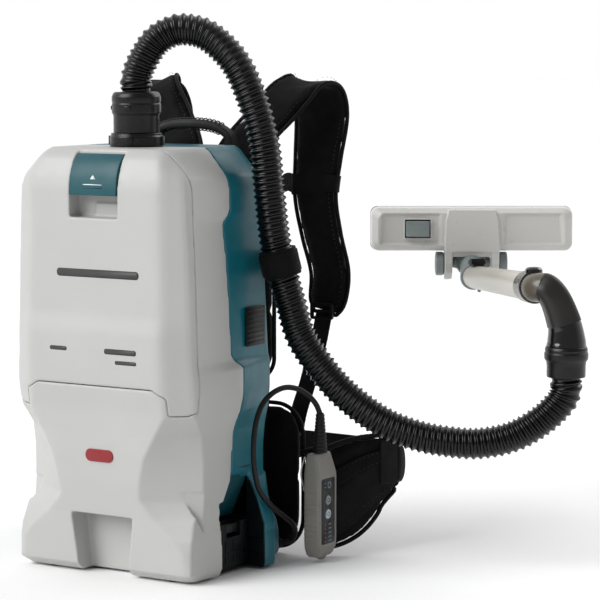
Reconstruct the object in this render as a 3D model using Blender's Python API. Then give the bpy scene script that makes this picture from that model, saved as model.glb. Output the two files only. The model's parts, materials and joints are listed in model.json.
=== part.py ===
"""Backpack vacuum cleaner, built as separate named parts.

Lengths are written in millimetres in the unit's own frame and turned into metres when a
mesh is made.  X is across the unit, -Y is the dust-cover side, +Y is the wearer's side, +Z is up
and Z = 0 is the floor.  The frame empty moves the unit so that its box is centred on the origin.
"""
import math

import bmesh
import bpy
from mathutils import Matrix, Vector

MM = 0.001
FRAME_SHIFT_Y = -70.75       # centres the unit, with its harness, on the origin
GAP = 0.4                    # running gap between neighbouring parts
WALL = 3.0                   # moulded shell thickness
TOP_Z = 530.0                # flat top of the unit
FLOOR_CLEAR = 3.0            # the shells stand this high on their feet
SEAM_Y = -101.0              # plane where the dust cover meets the housing
PORT_Y = -38.0               # intake axis
PORT_HOLE_R = 25.0
HINGE = (0.0, -132.0, 207.5)  # dust-cover hinge axis, along the lower front edge
LATCH_PIVOT = (0.0, -113.0, 521.0)
POCKET_HALF = 36.5           # finger pocket in the cover
POCKET_Z = (446.0, 540.0)
POCKET_BACK_Y = -108.0
BAY_Y = (-50.0, 58.0)        # battery bay, open on both sides
BAY_Z = (6.0, 93.0)
BAY_HALF = 124.0
BAY_WALL = 2.5
PACK_X = (6.0, 128.0)        # battery pack, from the middle outwards
PACK_Y = (-46.5, 17.5)
PACK_Z = (9.5, 64.0)
BUTTON_X = (110.5, 124.0)    # release button on each pack
BUTTON_Y = (-29.5, 0.5)
BUTTON_Z = (50.0, 62.0)
BUTTON_TRAVEL = 3.0
BAY_BACK = 19.0              # rear wall of the space for the packs
FIN_Y = 22.0
FIN_ROWS = ((3.3, 150), (10, 152), (58, 151), (88, 141), (114, 129))   # height, half width
MOTOR = (0.0, 28.0)
HOSE_D = 40.0
CABLE_D = 7.0
HOSE_END = (476.0, 207.0, 246.0)
WAND_START = Vector((424.0, 216.0, 355.0))
WAND_END = Vector((183.0, 513.0, 332.0))
NOZZLE_PIVOT = (153.0, 561.0, 348.0)
NOZZLE_YAW = math.radians(32.0)
PENDANT = (184.0, 100.5, 77.0)    # middle of the control pendant
PENDANT_SIZE = (24.0, 45.0, 128.0)

# Outer skin, one row for each height:
# z, front y, half width of the front face, front corner x y, side x, rear corner x y, back x y
SECTIONS = (
    (3.0, -105, 118, 132, -98, 135, 128, 75, 112, 88),
    (12.0, -115, 126, 139, -112, 139, 132, 85, 116, 98),
    (40.0, -116, 124, 140, -111, 139, 132, 84, 116, 98),
    (54.0, -117, 110, 139, -110, 138, 130, 82, 114, 96),
    (77.0, -118, 80, 134, -100, 133, 128, 66, 110, 84),
    (100.0, -121, 59, 130, -84, 131, 126, 58, 106, 80),
    (120.0, -124, 61, 130, -82, 130, 126, 57, 106, 80),
    (153.0, -126, 69, 130, -82, 131, 126, 57, 106, 80),
    (181.0, -126, 85, 130, -86, 133, 127, 60, 107, 80),
    (206.0, -127, 100, 133, -104, 139, 129, 66, 108, 82),
    (240.0, -132, 100, 137, -108, 141, 130, 70, 109, 84),
    (258.0, -133, 100, 136, -109, 141, 130, 70, 109, 84),
    (268.0, -133.5, 100, 135, -109, 132, 129, 68, 108, 83),
    (300.0, -134, 99, 134, -110, 131, 128, 66, 107, 82),
    (333.0, -130, 99, 133, -110, 130, 127, 65, 106, 81),
    (400.0, -130, 98, 131, -110, 126, 124, 62, 105, 80),
    (437.0, -130, 97, 129, -111, 123, 122, 58, 104, 79),
    (452.0, -130, 97, 128, -111, 128, 122, 56, 104, 79),
    (478.0, -130, 97, 127, -111, 127, 122, 55, 104, 78),
    (493.0, -128, 97, 124, -108, 124, 119, 54, 102, 76),
    (505.0, -124, 95, 116, -104, 115, 112, 53, 98, 74),
    (518.0, -118, 92, 104, -98, 104, 101, 52, 90, 71),
    (526.0, -110, 88, 96, -92, 97, 94, 50, 85, 68),
    (TOP_Z, -104, 84, 90, -86, 91, 88, 48, 80, 64),
)
SIDE_Y = -20.0               # where the side is widest

# Line between the white front housing and the teal rear housing (y, z)
PARTING = ((-20, 545), (-20, 455), (-30, 437), (-28, 395), (-24, 275), (-8, 258), (-8, 220),
           (-20, 189), (-24, 119), (-52, 77), (-52, -5))

# Half outline of the dust cover seen from the front (x, z)
COVER_OUTLINE = ((0, 240), (86, 240), (105, 230), (105.5, 208.5), (124, 208.5), (134, 213),
                 (141, 222), (146, 236), (160, 240), (160, 560), (0, 560))

HOSE_ROUTE = ((0, -38, 598.2), (0, -38, 606), (0.2, -38, 615), (6, -35, 633), (20, -26, 659),
              (38, -17, 672), (55, -10, 675), (78, 0, 669), (101, 9, 650), (118, 16, 626),
              (132, 22, 591), (141, 26, 560), (147, 29, 528), (151, 31, 486), (155, 34, 436),
              (158, 38, 405), (165, 44, 366), (173, 49, 333), (185, 54, 292), (211, 66, 250),
              (237, 79, 219), (274, 98, 189), (310, 118, 172), (345, 137, 164), (382, 156, 162),
              (419, 176, 171), (449, 193, 191), (469, 203.5, 213), (475.8, 207, 228),
              (476, 207, 238), HOSE_END)
CABLE_ROUTE = ((129.2, 97.7, 20), (137, 105.5, 22), (144, 104, 34), (148, 92, 46), (149, 68, 61),
               (151, 41, 76), (148, 18, 97), (148, 7, 115), (148, 1, 140), (148, 1, 166),
               (149, 5, 189), (151, 15, 209), (155, 31, 222), (161, 51, 228), (168, 70, 225),
               (175, 86, 215), (181, 95, 203), (184, 100, 190))

# Harness centre lines: x, y, z, width
SHOULDER_PAD = ((36, 112, 494, 66), (48, 125, 522, 66), (78, 143, 562, 64), (106, 156, 594, 66),
                (122, 172, 607, 72), (124, 193, 596, 78), (122, 204, 563, 80),
                (119, 200, 510, 72), (120, 192, 460, 65), (128, 194, 410, 62),
                (137, 200, 362, 60), (136, 197, 325, 56), (134, 194, 308, 38))
SHOULDER_WEB = ((133, 193, 306.5, 25), (132, 181, 272, 25), (127, 165, 225, 25),
                (121, 152, 185, 25), (118, 145, 158, 25))
HIP_WING = ((157, 124, 84, 118), (178, 144, 89, 116), (205, 172, 104, 104),
            (225, 200, 117, 78), (232, 213, 118, 58))
WAIST_WEB = ((229, 221, 118, 38), (208, 246, 118, 38), (160, 262, 118, 38), (100, 268, 118, 38),
             (34, 270, 118, 38))
PAD_THICK = 14.0
WEB_THICK = 2.5

FRAME = None


# ---------------------------------------------------------------- materials and mesh helpers

def material(name, colour, rough, metal=0.0):
    """One Principled material in linear colour."""
    mat = bpy.data.materials.new(name)
    mat.use_nodes = True
    shader = mat.node_tree.nodes["Principled BSDF"]
    shader.inputs["Base Color"].default_value = (*colour, 1.0)
    shader.inputs["Roughness"].default_value = rough
    shader.inputs["Metallic"].default_value = metal
    return mat


WHITE = (0.58, 0.58, 0.57)
TEAL = (0.0, 0.14, 0.18)
BLACK = (0.008, 0.008, 0.009)
FABRIC = (0.006, 0.006, 0.007)
GREY = (0.22, 0.25, 0.25)
STEEL = (0.55, 0.55, 0.56)


def add_mesh(name, verts, faces, colour, rough=0.5, metal=0.0, pivot=(0, 0, 0), parent=None):
    """Make a named object from millimetre points; its origin goes to the pivot."""
    pivot = Vector(pivot)
    mesh = bpy.data.meshes.new(name)
    mesh.from_pydata([(Vector(v) - pivot) * MM for v in verts], [], faces)
    bm = bmesh.new()
    bm.from_mesh(mesh)
    bmesh.ops.remove_doubles(bm, verts=bm.verts, dist=1e-6)
    bmesh.ops.recalc_face_normals(bm, faces=bm.faces)
    bm.to_mesh(mesh)
    bm.free()
    mesh.materials.append(material(name + "_finish", colour, rough, metal))
    obj = bpy.data.objects.new(name, mesh)
    bpy.context.scene.collection.objects.link(obj)
    obj.parent = parent or FRAME
    obj.location = pivot * MM
    return obj


def smooth(obj, angle=35.0):
    """Smooth shading with sharp edges kept."""
    obj.data.shade_smooth()
    obj.data.set_sharp_from_angle(angle=math.radians(angle))
    return obj


def carve(obj, tool, operation="DIFFERENCE"):
    """Apply a Boolean and remove the tool."""
    bpy.context.view_layer.update()
    mod = obj.modifiers.new("carve", "BOOLEAN")
    mod.object = tool
    mod.operation = operation
    mod.solver = "EXACT"
    bpy.context.view_layer.update()
    graph = bpy.context.evaluated_depsgraph_get()
    mesh = bpy.data.meshes.new_from_object(obj.evaluated_get(graph))
    obj.modifiers.clear()
    old = obj.data
    obj.data = mesh
    bpy.data.meshes.remove(old)
    bpy.data.objects.remove(tool)
    return obj


def loft(rings):
    """Skin equal-length rings and cap both ends."""
    count = len(rings[0])
    verts = [p for ring in rings for p in ring]
    faces = []
    for i in range(len(rings) - 1):
        a, b = i * count, (i + 1) * count
        for j in range(count):
            k = (j + 1) % count
            faces.append((a + j, a + k, b + k))
            faces.append((a + j, b + k, b + j))
    faces.append(tuple(range(count)))
    last = (len(rings) - 1) * count
    faces.append(tuple(last + j for j in reversed(range(count))))
    return verts, faces


def prism(outline, axis, low, high):
    """Extrude a 2-D outline along X, Y or Z; the other two axes take its points in order."""
    def place(point, depth):
        u, v = point
        return {"X": (depth, u, v), "Y": (u, depth, v), "Z": (u, v, depth)}[axis]
    return loft([[place(p, low) for p in outline], [place(p, high) for p in outline]])


def box(x, y, z):
    """Box from three ranges."""
    return prism(((x[0], y[0]), (x[1], y[0]), (x[1], y[1]), (x[0], y[1])), "Z", z[0], z[1])


def round_rect(half_u, half_v, radius, steps=3):
    """Rounded rectangle about the origin."""
    points = []
    corners = ((1, 1, 0), (-1, 1, 90), (-1, -1, 180), (1, -1, 270))
    for su, sv, start in corners:
        for i in range(steps + 1):
            angle = math.radians(start + 90.0 * i / steps)
            points.append((su * (half_u - radius) + radius * math.cos(angle),
                           sv * (half_v - radius) + radius * math.sin(angle)))
    return points


def lathe(profile, centre, segments=32, axis=Vector((0, 0, 1))):
    """Turn a closed (radius, height) profile that stays off the axis."""
    turn = axis.to_track_quat("Z", "Y").to_matrix()
    verts = []
    for s in range(segments):
        angle = 2 * math.pi * s / segments
        for radius, height in profile:
            local = Vector((radius * math.cos(angle), radius * math.sin(angle), height))
            verts.append(Vector(centre) + turn @ local)
    count = len(profile)
    faces = []
    for s in range(segments):
        a, b = s * count, ((s + 1) % segments) * count
        for j in range(count):
            k = (j + 1) % count
            faces.append((a + j, a + k, b + k, b + j))
    return verts, faces


def disc(radii, centre, segments=28, axis=Vector((0, 0, 1))):
    """Solid turned part from (radius, height) steps."""
    turn = axis.to_track_quat("Z", "Y").to_matrix()
    rings = []
    for radius, height in radii:
        ring = []
        for s in range(segments):
            angle = 2 * math.pi * s / segments
            local = Vector((radius * math.cos(angle), radius * math.sin(angle), height))
            ring.append(Vector(centre) + turn @ local)
        rings.append(ring)
    return loft(rings)


def spline_point(p0, p1, p2, p3, t):
    """Catmull-Rom point between p1 and p2."""
    return 0.5 * ((2 * p1) + (p2 - p0) * t + (2 * p0 - 5 * p1 + 4 * p2 - p3) * t * t
                  + (3 * p1 - p0 - 3 * p2 + p3) * t * t * t)


def smooth_path(route, spacing):
    """Even points on a smooth curve through the route; extra values ride along."""
    route = [Vector(p) for p in route]
    ends = [2 * route[0] - route[1]] + route + [2 * route[-1] - route[-2]]
    fine = []
    for i in range(len(route) - 1):
        for s in range(12):
            fine.append(spline_point(*ends[i:i + 4], s / 12))
    fine.append(route[-1])
    lengths = [0.0]
    for a, b in zip(fine, fine[1:]):
        lengths.append(lengths[-1] + (b.resized(3) - a.resized(3)).length)
    count = max(2, round(lengths[-1] / spacing))
    points = []
    j = 0
    for i in range(count + 1):
        goal = lengths[-1] * i / count
        while j < len(fine) - 2 and lengths[j + 1] < goal:
            j += 1
        span = lengths[j + 1] - lengths[j]
        points.append(fine[j].lerp(fine[j + 1], (goal - lengths[j]) / span))
    return points


def tangents(points):
    """Unit directions along a path."""
    out = []
    for i in range(len(points)):
        a, b = points[max(0, i - 1)], points[min(len(points) - 1, i + 1)]
        out.append((b - a).normalized())
    return out


def ribbon(route, thick, across=(1, 0, 0), spacing=18.0, edge=None):
    """Strap or pad: a rounded rectangle swept along x, y, z, width points."""
    points = smooth_path(route, spacing)
    centres = [p.resized(3) for p in points]
    rings = []
    for point, centre, tangent in zip(points, centres, tangents(centres)):
        side = (Vector(across) - tangent * Vector(across).dot(tangent)).normalized()
        normal = tangent.cross(side)
        section = round_rect(point[3] / 2, thick / 2, edge or thick * 0.42, 2)
        rings.append([centre + side * u + normal * v for u, v in section])
    return loft(rings)


def circle_frames(points):
    """Twist-free frames along a path."""
    ways = tangents(points)
    side = ways[0].orthogonal().normalized()
    frames = []
    for way in ways:
        side = (side - way * side.dot(way)).normalized()
        frames.append((side, way.cross(side)))
    return frames


def pipe(points, outer, inner, segments=24):
    """Open-ended pipe with changing radii."""
    frames = circle_frames(points)
    loops = []
    for radii, order in ((outer, range(len(points))), (inner, reversed(range(len(points))))):
        for i in order:
            u, v = frames[i]
            loops.append([points[i] + (u * math.cos(a) + v * math.sin(a)) * radii[i]
                          for a in (2 * math.pi * s / segments for s in range(segments))])
    verts = [p for loop in loops for p in loop]
    faces = []
    for i in range(len(loops)):
        a, b = i * segments, ((i + 1) % len(loops)) * segments
        for j in range(segments):
            k = (j + 1) % segments
            faces.append((a + j, a + k, b + k, b + j))
    return verts, faces


def cord(name, route, diameter, spacing, colour, sides):
    """Free cord: a bevelled poly curve along the smooth route."""
    curve = bpy.data.curves.new(name, "CURVE")
    curve.dimensions = "3D"
    points = smooth_path(route, spacing)
    spline = curve.splines.new("POLY")
    spline.points.add(len(points) - 1)
    for slot, point in zip(spline.points, points):
        slot.co = (*(point * MM), 1.0)
    curve.bevel_depth = diameter / 2 * MM
    curve.bevel_resolution = sides
    curve.use_fill_caps = True
    curve.materials.append(material(name + "_finish", colour, 0.35))
    obj = bpy.data.objects.new(name, curve)
    bpy.context.scene.collection.objects.link(obj)
    obj.parent = FRAME
    return obj


def mirrored(route):
    """The same centre line on the other side of the unit."""
    return [(-p[0], *p[1:]) for p in route]


# ---------------------------------------------------------------- housings

def moved_in(points, inset):
    """Anticlockwise 2-D outline moved in by a distance, or out by a negative one."""
    points = [Vector(p) for p in points]
    moved = []
    for i, p in enumerate(points):
        a, b = points[i - 1], points[(i + 1) % len(points)]
        n1 = Vector((-(p - a).y, (p - a).x)).normalized()
        n2 = Vector((-(b - p).y, (b - p).x)).normalized()
        way = (n1 + n2).normalized()
        moved.append(p + way * inset / max(0.5, way.dot(n1)))
    return moved


def section_ring(row, inset):
    """Closed outline of the skin at one height, moved in by the inset."""
    z, front, half, cx, cy, side, rx, ry, bx, by = row
    right = [(half, front), (cx, cy), (side, SIDE_Y), (rx, ry), (bx, by)]
    points = [Vector(p) for p in right] + [Vector((-x, y)) for x, y in reversed(right)]
    return [(p.x, p.y, z) for p in moved_in(points, inset)]


def skin(name, inset, low, high):
    """Solid of the outer skin, moved in, between two heights."""
    rows = [row for row in SECTIONS if low < row[0] < high]
    rows = [row_at(low)] + rows + [row_at(high)]
    verts, faces = loft([section_ring(row, inset) for row in rows])
    return add_mesh(name, verts, faces, WHITE)


def row_at(z):
    """Section row at any height, by straight interpolation."""
    z = min(max(z, SECTIONS[0][0]), SECTIONS[-1][0])
    for a, b in zip(SECTIONS, SECTIONS[1:]):
        if a[0] <= z <= b[0]:
            t = (z - a[0]) / (b[0] - a[0])
            return tuple(p + (q - p) * t for p, q in zip(a, b))
    return SECTIONS[-1]


def pocket_tool(grow):
    """Finger pocket behind the latch."""
    half = POCKET_HALF + grow
    return add_mesh("tool", *box((-half, half), (-160, POCKET_BACK_Y + grow),
                                 (POCKET_Z[0] - grow, POCKET_Z[1])), WHITE)


def notch_tool(grow):
    """Notch between the two front feet."""
    outline = ((-36 - grow, -5), (36 + grow, -5), (46.5 + grow, 77 + grow), (-46.5 - grow, 77 + grow))
    return add_mesh("tool", *prism(outline, "Y", -160, -86 + grow), WHITE)


def scoop_tool(side, grow):
    """Three-sided scoop low on the side of the front leg."""
    top_front = Vector((129 * side, -124, 112 + grow))
    top_back = Vector((124 * side - grow * side, -62 + grow, 109 + grow))
    low_back = Vector((132 * side - grow * side, -60 + grow, 40 - grow))
    out = Vector((40 * side, 0, 0))
    inner = [top_front, top_back, low_back]
    return add_mesh("tool", *loft([inner, [p + out for p in inner]]), WHITE)


def bay_tool(grow):
    """Battery bay, right through the unit."""
    return add_mesh("tool", *box((-200, 200), (BAY_Y[0] - grow, BAY_Y[1] + grow),
                                 (BAY_Z[0] - grow, BAY_Z[1] + grow)), WHITE)


def hollow_body():
    """The whole moulded skin as one hollow shell, before it is split."""
    outer = skin("outer", 0.0, SECTIONS[0][0], TOP_Z)
    inner = skin("inner", WALL, SECTIONS[0][0] + WALL, TOP_Z - WALL)
    for tool_maker in (pocket_tool, notch_tool):
        carve(outer, tool_maker(0.0))
        carve(inner, tool_maker(WALL))
    for side in (-1, 1):
        carve(outer, scoop_tool(side, 0.0))
        carve(inner, scoop_tool(side, WALL))
    carve(outer, inner)
    carve(outer, bay_tool(GAP))
    carve(outer, add_mesh("tool", *disc(((PORT_HOLE_R, 500), (PORT_HOLE_R, 560)),
                                        (0, PORT_Y, 0)), WHITE))
    return outer


def front_half(shift):
    """Everything in front of the parting line, moved by the shift."""
    outline = [(y + shift, z) for y, z in PARTING] + [(-200, -5), (-200, 545)]
    return add_mesh("tool", *prism(outline, "X", -200, 200), WHITE)


def cover_region(grow):
    """Prism that holds the dust cover."""
    outline = list(COVER_OUTLINE) + [(-x, z) for x, z in reversed(COVER_OUTLINE) if x > 0]
    outline = moved_in(outline, -grow)
    return add_mesh("tool", *prism(outline, "Y", -200, SEAM_Y + grow), WHITE)


def copy_of(obj, name):
    """Independent copy of an object."""
    twin = obj.copy()
    twin.data = obj.data.copy()
    twin.name = name
    bpy.context.scene.collection.objects.link(twin)
    return twin


def repaint(obj, name, colour, rough):
    """Name a split shell and give it its own finish."""
    obj.name = name
    obj.data.name = name
    obj.data.materials.clear()
    obj.data.materials.append(material(name + "_finish", colour, rough))
    return smooth(obj, 25)


def move_origin(obj, pivot):
    """Put an object's origin on its joint axis, leaving its shape in place."""
    pivot = Vector(pivot) * MM
    obj.data.transform(Matrix.Translation(obj.location - pivot))
    obj.location = pivot


def rear_fin(obj, side):
    """Flared rear leg behind the battery opening."""
    rings = []
    for z, x in FIN_ROWS:
        plan = ((124.4, FIN_Y), (x, FIN_Y + 1), (x, 44), (131, 66), (124.4, 66))
        rings.append([(side * u, v, z) for u, v in plan][::side])
    carve(obj, add_mesh("tool", *loft(rings), TEAL), "UNION")


def rear_foot(obj, side):
    """Moulded foot under the rear leg."""
    tool = add_mesh("tool", *box((side * 90 - 9, side * 90 + 9), (66, 82), (0, 5.2)), TEAL)
    carve(obj, tool, "UNION")


def housings():
    """White front housing, dust cover and teal rear housing from one skin."""
    body = hollow_body()
    front = carve(copy_of(body, "front"), front_half(-GAP / 2), "INTERSECT")
    rear = carve(body, front_half(GAP / 2 + 0.1))
    cover = carve(copy_of(front, "cover"), cover_region(0.0), "INTERSECT")
    front = carve(front, cover_region(GAP))
    for side in (-1, 1):
        rear_foot(rear, side)
        rear_fin(rear, side)
    repaint(front, "front_housing", WHITE, 0.42)
    repaint(cover, "front_cover", WHITE, 0.42)
    repaint(rear, "rear_housing", TEAL, 0.4)
    move_origin(cover, HINGE)


def cover_latch():
    """Latch plate that wraps over the top edge of the cover."""
    face = ((-131.6, 474), (-130.4, 491), (-127, 504), (-121, 515), (-114.5, 521.5),
            (-110.8, 524.2), (-110.6, 519), (-112.6, 516.5), (-117.5, 511), (-122, 501.5),
            (-125.2, 490), (-126.6, 474))
    smooth(add_mesh("cover_latch", *prism(face, "X", -35.7, 35.7), (0.05, 0.22, 0.25), 0.4,
                    pivot=LATCH_PIVOT))


def side_vent():
    """Dark louvre plate on the side of the rear housing."""
    outline = ((131.6, 8), (133.4, 8), (132.1, 52), (130.3, 52))
    add_mesh("side_vent", *prism(outline, "Z", 282, 331), BLACK, 0.6)


# ---------------------------------------------------------------- batteries and insides

def battery_bay():
    """Open-ended sleeve that both battery packs slide into."""
    y0 = BAY_Y[0]
    z0, z1 = BAY_Z
    outer = add_mesh("battery_bay", *box((-BAY_HALF, BAY_HALF), BAY_Y, BAY_Z),
                     (0.01, 0.03, 0.035), 0.5)
    hole = box((-200, 200), (y0 + BAY_WALL, BAY_BACK), (z0 + BAY_WALL, z1 - BAY_WALL))
    carve(outer, add_mesh("tool", *hole, BLACK))


def battery(name, side):
    """Battery pack with a finger lip on its outer end."""
    y0, y1 = PACK_Y
    z0, z1 = PACK_Z
    outline = ((side * PACK_X[0], z0), (side * PACK_X[1], z0), (side * PACK_X[1], z1 - 8),
               (side * (PACK_X[1] - 5), z1), (side * PACK_X[0], z1))
    pack = add_mesh(name, *prism(outline, "Y", y0, y1), (0.01, 0.035, 0.042), 0.5,
                    pivot=(side * PACK_X[0], (y0 + y1) / 2, (z0 + z1) / 2))
    x0, x1 = sorted((side * (BUTTON_X[0] - 0.5), side * (PACK_X[1] + 12)))
    notch = box((x0, x1), (BUTTON_Y[0] - 0.5, BUTTON_Y[1] + 0.5),
                (BUTTON_Z[0] - BUTTON_TRAVEL - 1, z1 + 10))
    carve(pack, add_mesh("tool", *notch, BLACK))


def battery_button(name, side):
    """Release button in the notch on top of a battery pack."""
    x0, x1 = sorted((side * BUTTON_X[0], side * BUTTON_X[1]))
    add_mesh(name, *box((x0, x1), BUTTON_Y, BUTTON_Z), (0.35, 0.02, 0.02), 0.4,
             pivot=(side * BUTTON_X[0], sum(BUTTON_Y) / 2, BUTTON_Z[0]))


def insides():
    """Air path, suction motor and electronics."""
    tube = ((20.5, 488), (23.5, 488), (23.5, 560), (20.5, 560))
    smooth(add_mesh("inlet_tube", *lathe(tube, (0, PORT_Y, 0), 28), BLACK, 0.5))
    bag = [[(x * k, y * k - 12, z) for x, y in round_rect(96, 70, 34)]
           for z, k in ((276, 0.72), (290, 0.95), (370, 1.0), (455, 0.95), (476, 0.7), (486, 0.3))]
    smooth(add_mesh("dust_bag", *loft(bag), (0.6, 0.57, 0.5), 0.9), 60)
    rings = [section_ring(row_at(z), WALL + 1.0) for z in (214.0, 218.0)]
    rings = [[(x, max(y, -116.0), z) for x, y, z in ring] for ring in rings]
    plate = add_mesh("bulkhead", *loft(rings), GREY, 0.6)
    carve(plate, add_mesh("tool", *disc(((22, 205), (22, 225)), (*MOTOR, 0)), GREY))
    main = [[(x * k, y * k - 8, z) for x, y in round_rect(80, 52, 14)]
            for z, k in ((222, 0.97), (226, 1.0), (262, 1.0), (266, 0.97))]
    add_mesh("main_filter", *loft(main), (0.7, 0.7, 0.66), 0.9)
    can = ((6, 104), (38, 104), (42, 108), (42, 188), (38, 192), (26, 192), (26, 189), (35, 186),
           (39, 182), (39, 112), (34, 108), (6, 108))
    smooth(add_mesh("motor_can", *lathe(can, (*MOTOR, 0), 32), STEEL, 0.35, 0.9))
    shaft = ((4, 100), (4, 112), (26, 114), (26, 168), (4, 170), (4, 208))
    smooth(add_mesh("motor_shaft", *disc(shaft, (*MOTOR, 0), 20), STEEL, 0.3, 1.0,
                    pivot=(*MOTOR, 150)))
    wheel = ((4.6, 194), (38, 194), (38, 197), (14, 201), (10, 209), (4.6, 209))
    smooth(add_mesh("impeller", *lathe(wheel, (*MOTOR, 0), 28), STEEL, 0.35, 0.9,
                    pivot=(*MOTOR, 200)))
    add_mesh("control_board", *box((-45, 45), (-74, -71), (110, 180)), (0.01, 0.12, 0.05), 0.5)


def feet():
    """Small rubber feet under the front legs."""
    for name, x in (("foot_left", -90.5), ("foot_right", 90.5)):
        shape = ((6.2, 0), (7.2, 1.2), (7.2, FLOOR_CLEAR - 0.35))
        smooth(add_mesh(name, *disc(shape, (x, -92, 0), 16), BLACK, 0.8))


# ---------------------------------------------------------------- intake, hose and cuffs

def intake():
    """Twist-lock collar and hose cuff on top of the unit."""
    z = TOP_Z + GAP
    collar = ((24.2, z), (33, z), (33, z + 12), (31.6, z + 16.5), (24.2, z + 16.5))
    smooth(add_mesh("intake_collar", *lathe(collar, (0, PORT_Y, 0), 36), BLACK, 0.35,
                    pivot=(0, PORT_Y, z)))
    low, high = z + 17, 597.7
    cuff = ((24.4, low), (28.6, low), (28.6, low + 22), (29.6, low + 24), (30.6, low + 26),
            (30.6, high - 8), (29, high - 5), (27.5, high), (19, high), (19, high - 20),
            (24.4, high - 26))
    smooth(add_mesh("hose_cuff", *lathe(cuff, (0, PORT_Y, 0), 36), BLACK, 0.35))


def hose_holder():
    """Hook-and-loop band round the hose, with a tab that reaches the harness plate."""
    centre = Vector((161.5, 41, 386))
    way = Vector((7, 6, -39)).normalized()
    band = ((21.2, -17), (23.4, -17), (23.4, 17), (21.2, 17))
    obj = add_mesh("hose_holder", *lathe(band, centre, 28, way), FABRIC, 0.95)
    route = ((151, 61.5, 385, 30), (135, 76, 384, 30), (118, 85.5, 384, 30), (104, 88, 384, 30))
    tab = add_mesh("tool", *ribbon(route, 2.2, (0, 0, 1), 14), FABRIC)
    smooth(carve(obj, tab, "UNION"))


def end_cuff():
    """Black ring at the tool end of the hose."""
    x, y, z = HOSE_END
    low = z + 0.4
    ring = ((19, low), (24, low), (26.2, low + 4), (26.2, low + 18), (24.4, low + 20),
            (25.6, low + 38), (19, low + 38))
    smooth(add_mesh("end_cuff", *lathe(ring, (x, y, 0), 32), BLACK, 0.35))


def wand_way():
    """Unit direction of the wand, from the hand end to the nozzle."""
    return (WAND_END - WAND_START).normalized()


def elbow():
    """Bent hand piece between the hose and the wand."""
    way = wand_way()
    x, y, z = HOSE_END
    route = [Vector(p) for p in ((x, y, z + 38.8), (x, y, z + 46), (474.5, 206, 308),
                                 (470, 203, 326), (461, 197, 345), (450, 194, 355))]
    route += [WAND_START - way * 20, WAND_START - way * 10, WAND_START]
    points = smooth_path(route, 9.0)
    count = len(points) - 1
    outer = [23.5 - 7.0 * min(1.0, 1.25 * i / count) for i in range(count + 1)]
    inner = [r - 2.6 for r in outer]
    smooth(add_mesh("elbow", *pipe(points, outer, inner, 26), (0.015, 0.015, 0.015), 0.15,
                    pivot=(x, y, z + 38.8)))
    ring = ((16.9, -15), (20.5, -15), (20.5, -1), (16.9, -1))
    smooth(add_mesh("bleed_ring", *lathe(ring, WAND_START, 28, way), (0.05, 0.05, 0.05), 0.12,
                    pivot=WAND_START))


def wand():
    """Straight tapered wand and its lock clip."""
    way = wand_way()
    length = (WAND_END - WAND_START).length
    wall = ((15.2, 0.4), (17.8, 0.4), (17.8, 26), (16.8, 28), (15.2, length), (13.0, length),
            (15.2, 20))
    smooth(add_mesh("wand", *lathe(wall, WAND_START, 28, way), (0.75, 0.74, 0.68), 0.35,
                    pivot=WAND_START))
    centre = WAND_END - way * 22 + Vector((0, 0, 21.5))
    clip = [[centre + way * s + Vector((way.y * u, -way.x * u, v))
             for u, v in round_rect(7, 3, 1.5, 2)] for s in (-12, 12)]
    add_mesh("lock_clip", *loft(clip), BLACK, 0.4, pivot=centre)


# ---------------------------------------------------------------- floor nozzle

def nozzle_frame():
    """Empty at the tilt pivot: local X along the nozzle, Y to its front edge, Z out of its top."""
    empty = bpy.data.objects.new("nozzle_frame", None)
    bpy.context.scene.collection.objects.link(empty)
    empty.parent = FRAME
    empty.location = Vector(NOZZLE_PIVOT) * MM
    empty.rotation_euler = (math.radians(90), 0, NOZZLE_YAW)
    return empty


def neck():
    """Bent neck that ends in a cross barrel between the nozzle's arms."""
    way = wand_way()
    pivot = Vector(NOZZLE_PIVOT)
    route = [WAND_END + way * 2.6, WAND_END + way * 8, WAND_END + way * 14,
             pivot.lerp(WAND_END, 0.32), pivot]
    points = smooth_path(route, 9.0)
    count = len(points)
    tube = add_mesh("neck", *pipe(points, [17.0] * count, [12.5] * count, 24), GREY, 0.4,
                    pivot=WAND_END)
    along = Vector((math.cos(NOZZLE_YAW), math.sin(NOZZLE_YAW), 0))
    barrel = disc(((15, -27), (18, -25), (18, 25), (15, 27)), pivot, 24, along)
    smooth(carve(tube, add_mesh("tool", *barrel, GREY), "UNION"))


def nozzle_body(frame):
    """Nozzle shell with a raised yoke and two arms, open underneath."""
    rows = ((-16, 1.0), (-6, 1.0), (12, 0.985), (19, 0.94))
    shell = [[(x * k, y * k + 48, z) for x, y in round_rect(143, 31, 9)] for z, k in rows]
    body = add_mesh("nozzle_body", *loft(shell), (0.52, 0.52, 0.5), 0.35, parent=frame)
    yoke = prism(((-38, 18), (38, 18), (34, 74), (-34, 74)), "Z", 15, 22.5)
    carve(body, add_mesh("tool", *yoke, WHITE, parent=frame), "UNION")
    for side in (-1, 1):
        arm_side = ((-24, -8), (-24, 6), (-14, 18), (20, 22), (20, -15), (-14, -15))
        x0, x1 = sorted((side * 29.0, side * 38.0))
        carve(body, add_mesh("tool", *prism(arm_side, "X", x0, x1), WHITE, parent=frame), "UNION")
        pin = disc(((2.6, -1), (2.6, 16)), (side * 37.0, -2, -2), 12, Vector((side, 0, 0)))
        carve(body, add_mesh("tool", *pin, WHITE, parent=frame), "UNION")
    hollow = box((-138, 138), (21.5, 74.5), (-30, 13))
    carve(body, add_mesh("tool", *hollow, WHITE, parent=frame))
    throat = box((-28, 28), (5, 30), (-20, 12))
    carve(body, add_mesh("tool", *throat, WHITE, parent=frame))
    pedal_hole = box((-95.5, -58.5), (35.5, 62.5), (5, 40))
    smooth(carve(body, add_mesh("tool", *pedal_hole, WHITE, parent=frame)), 25)


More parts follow.
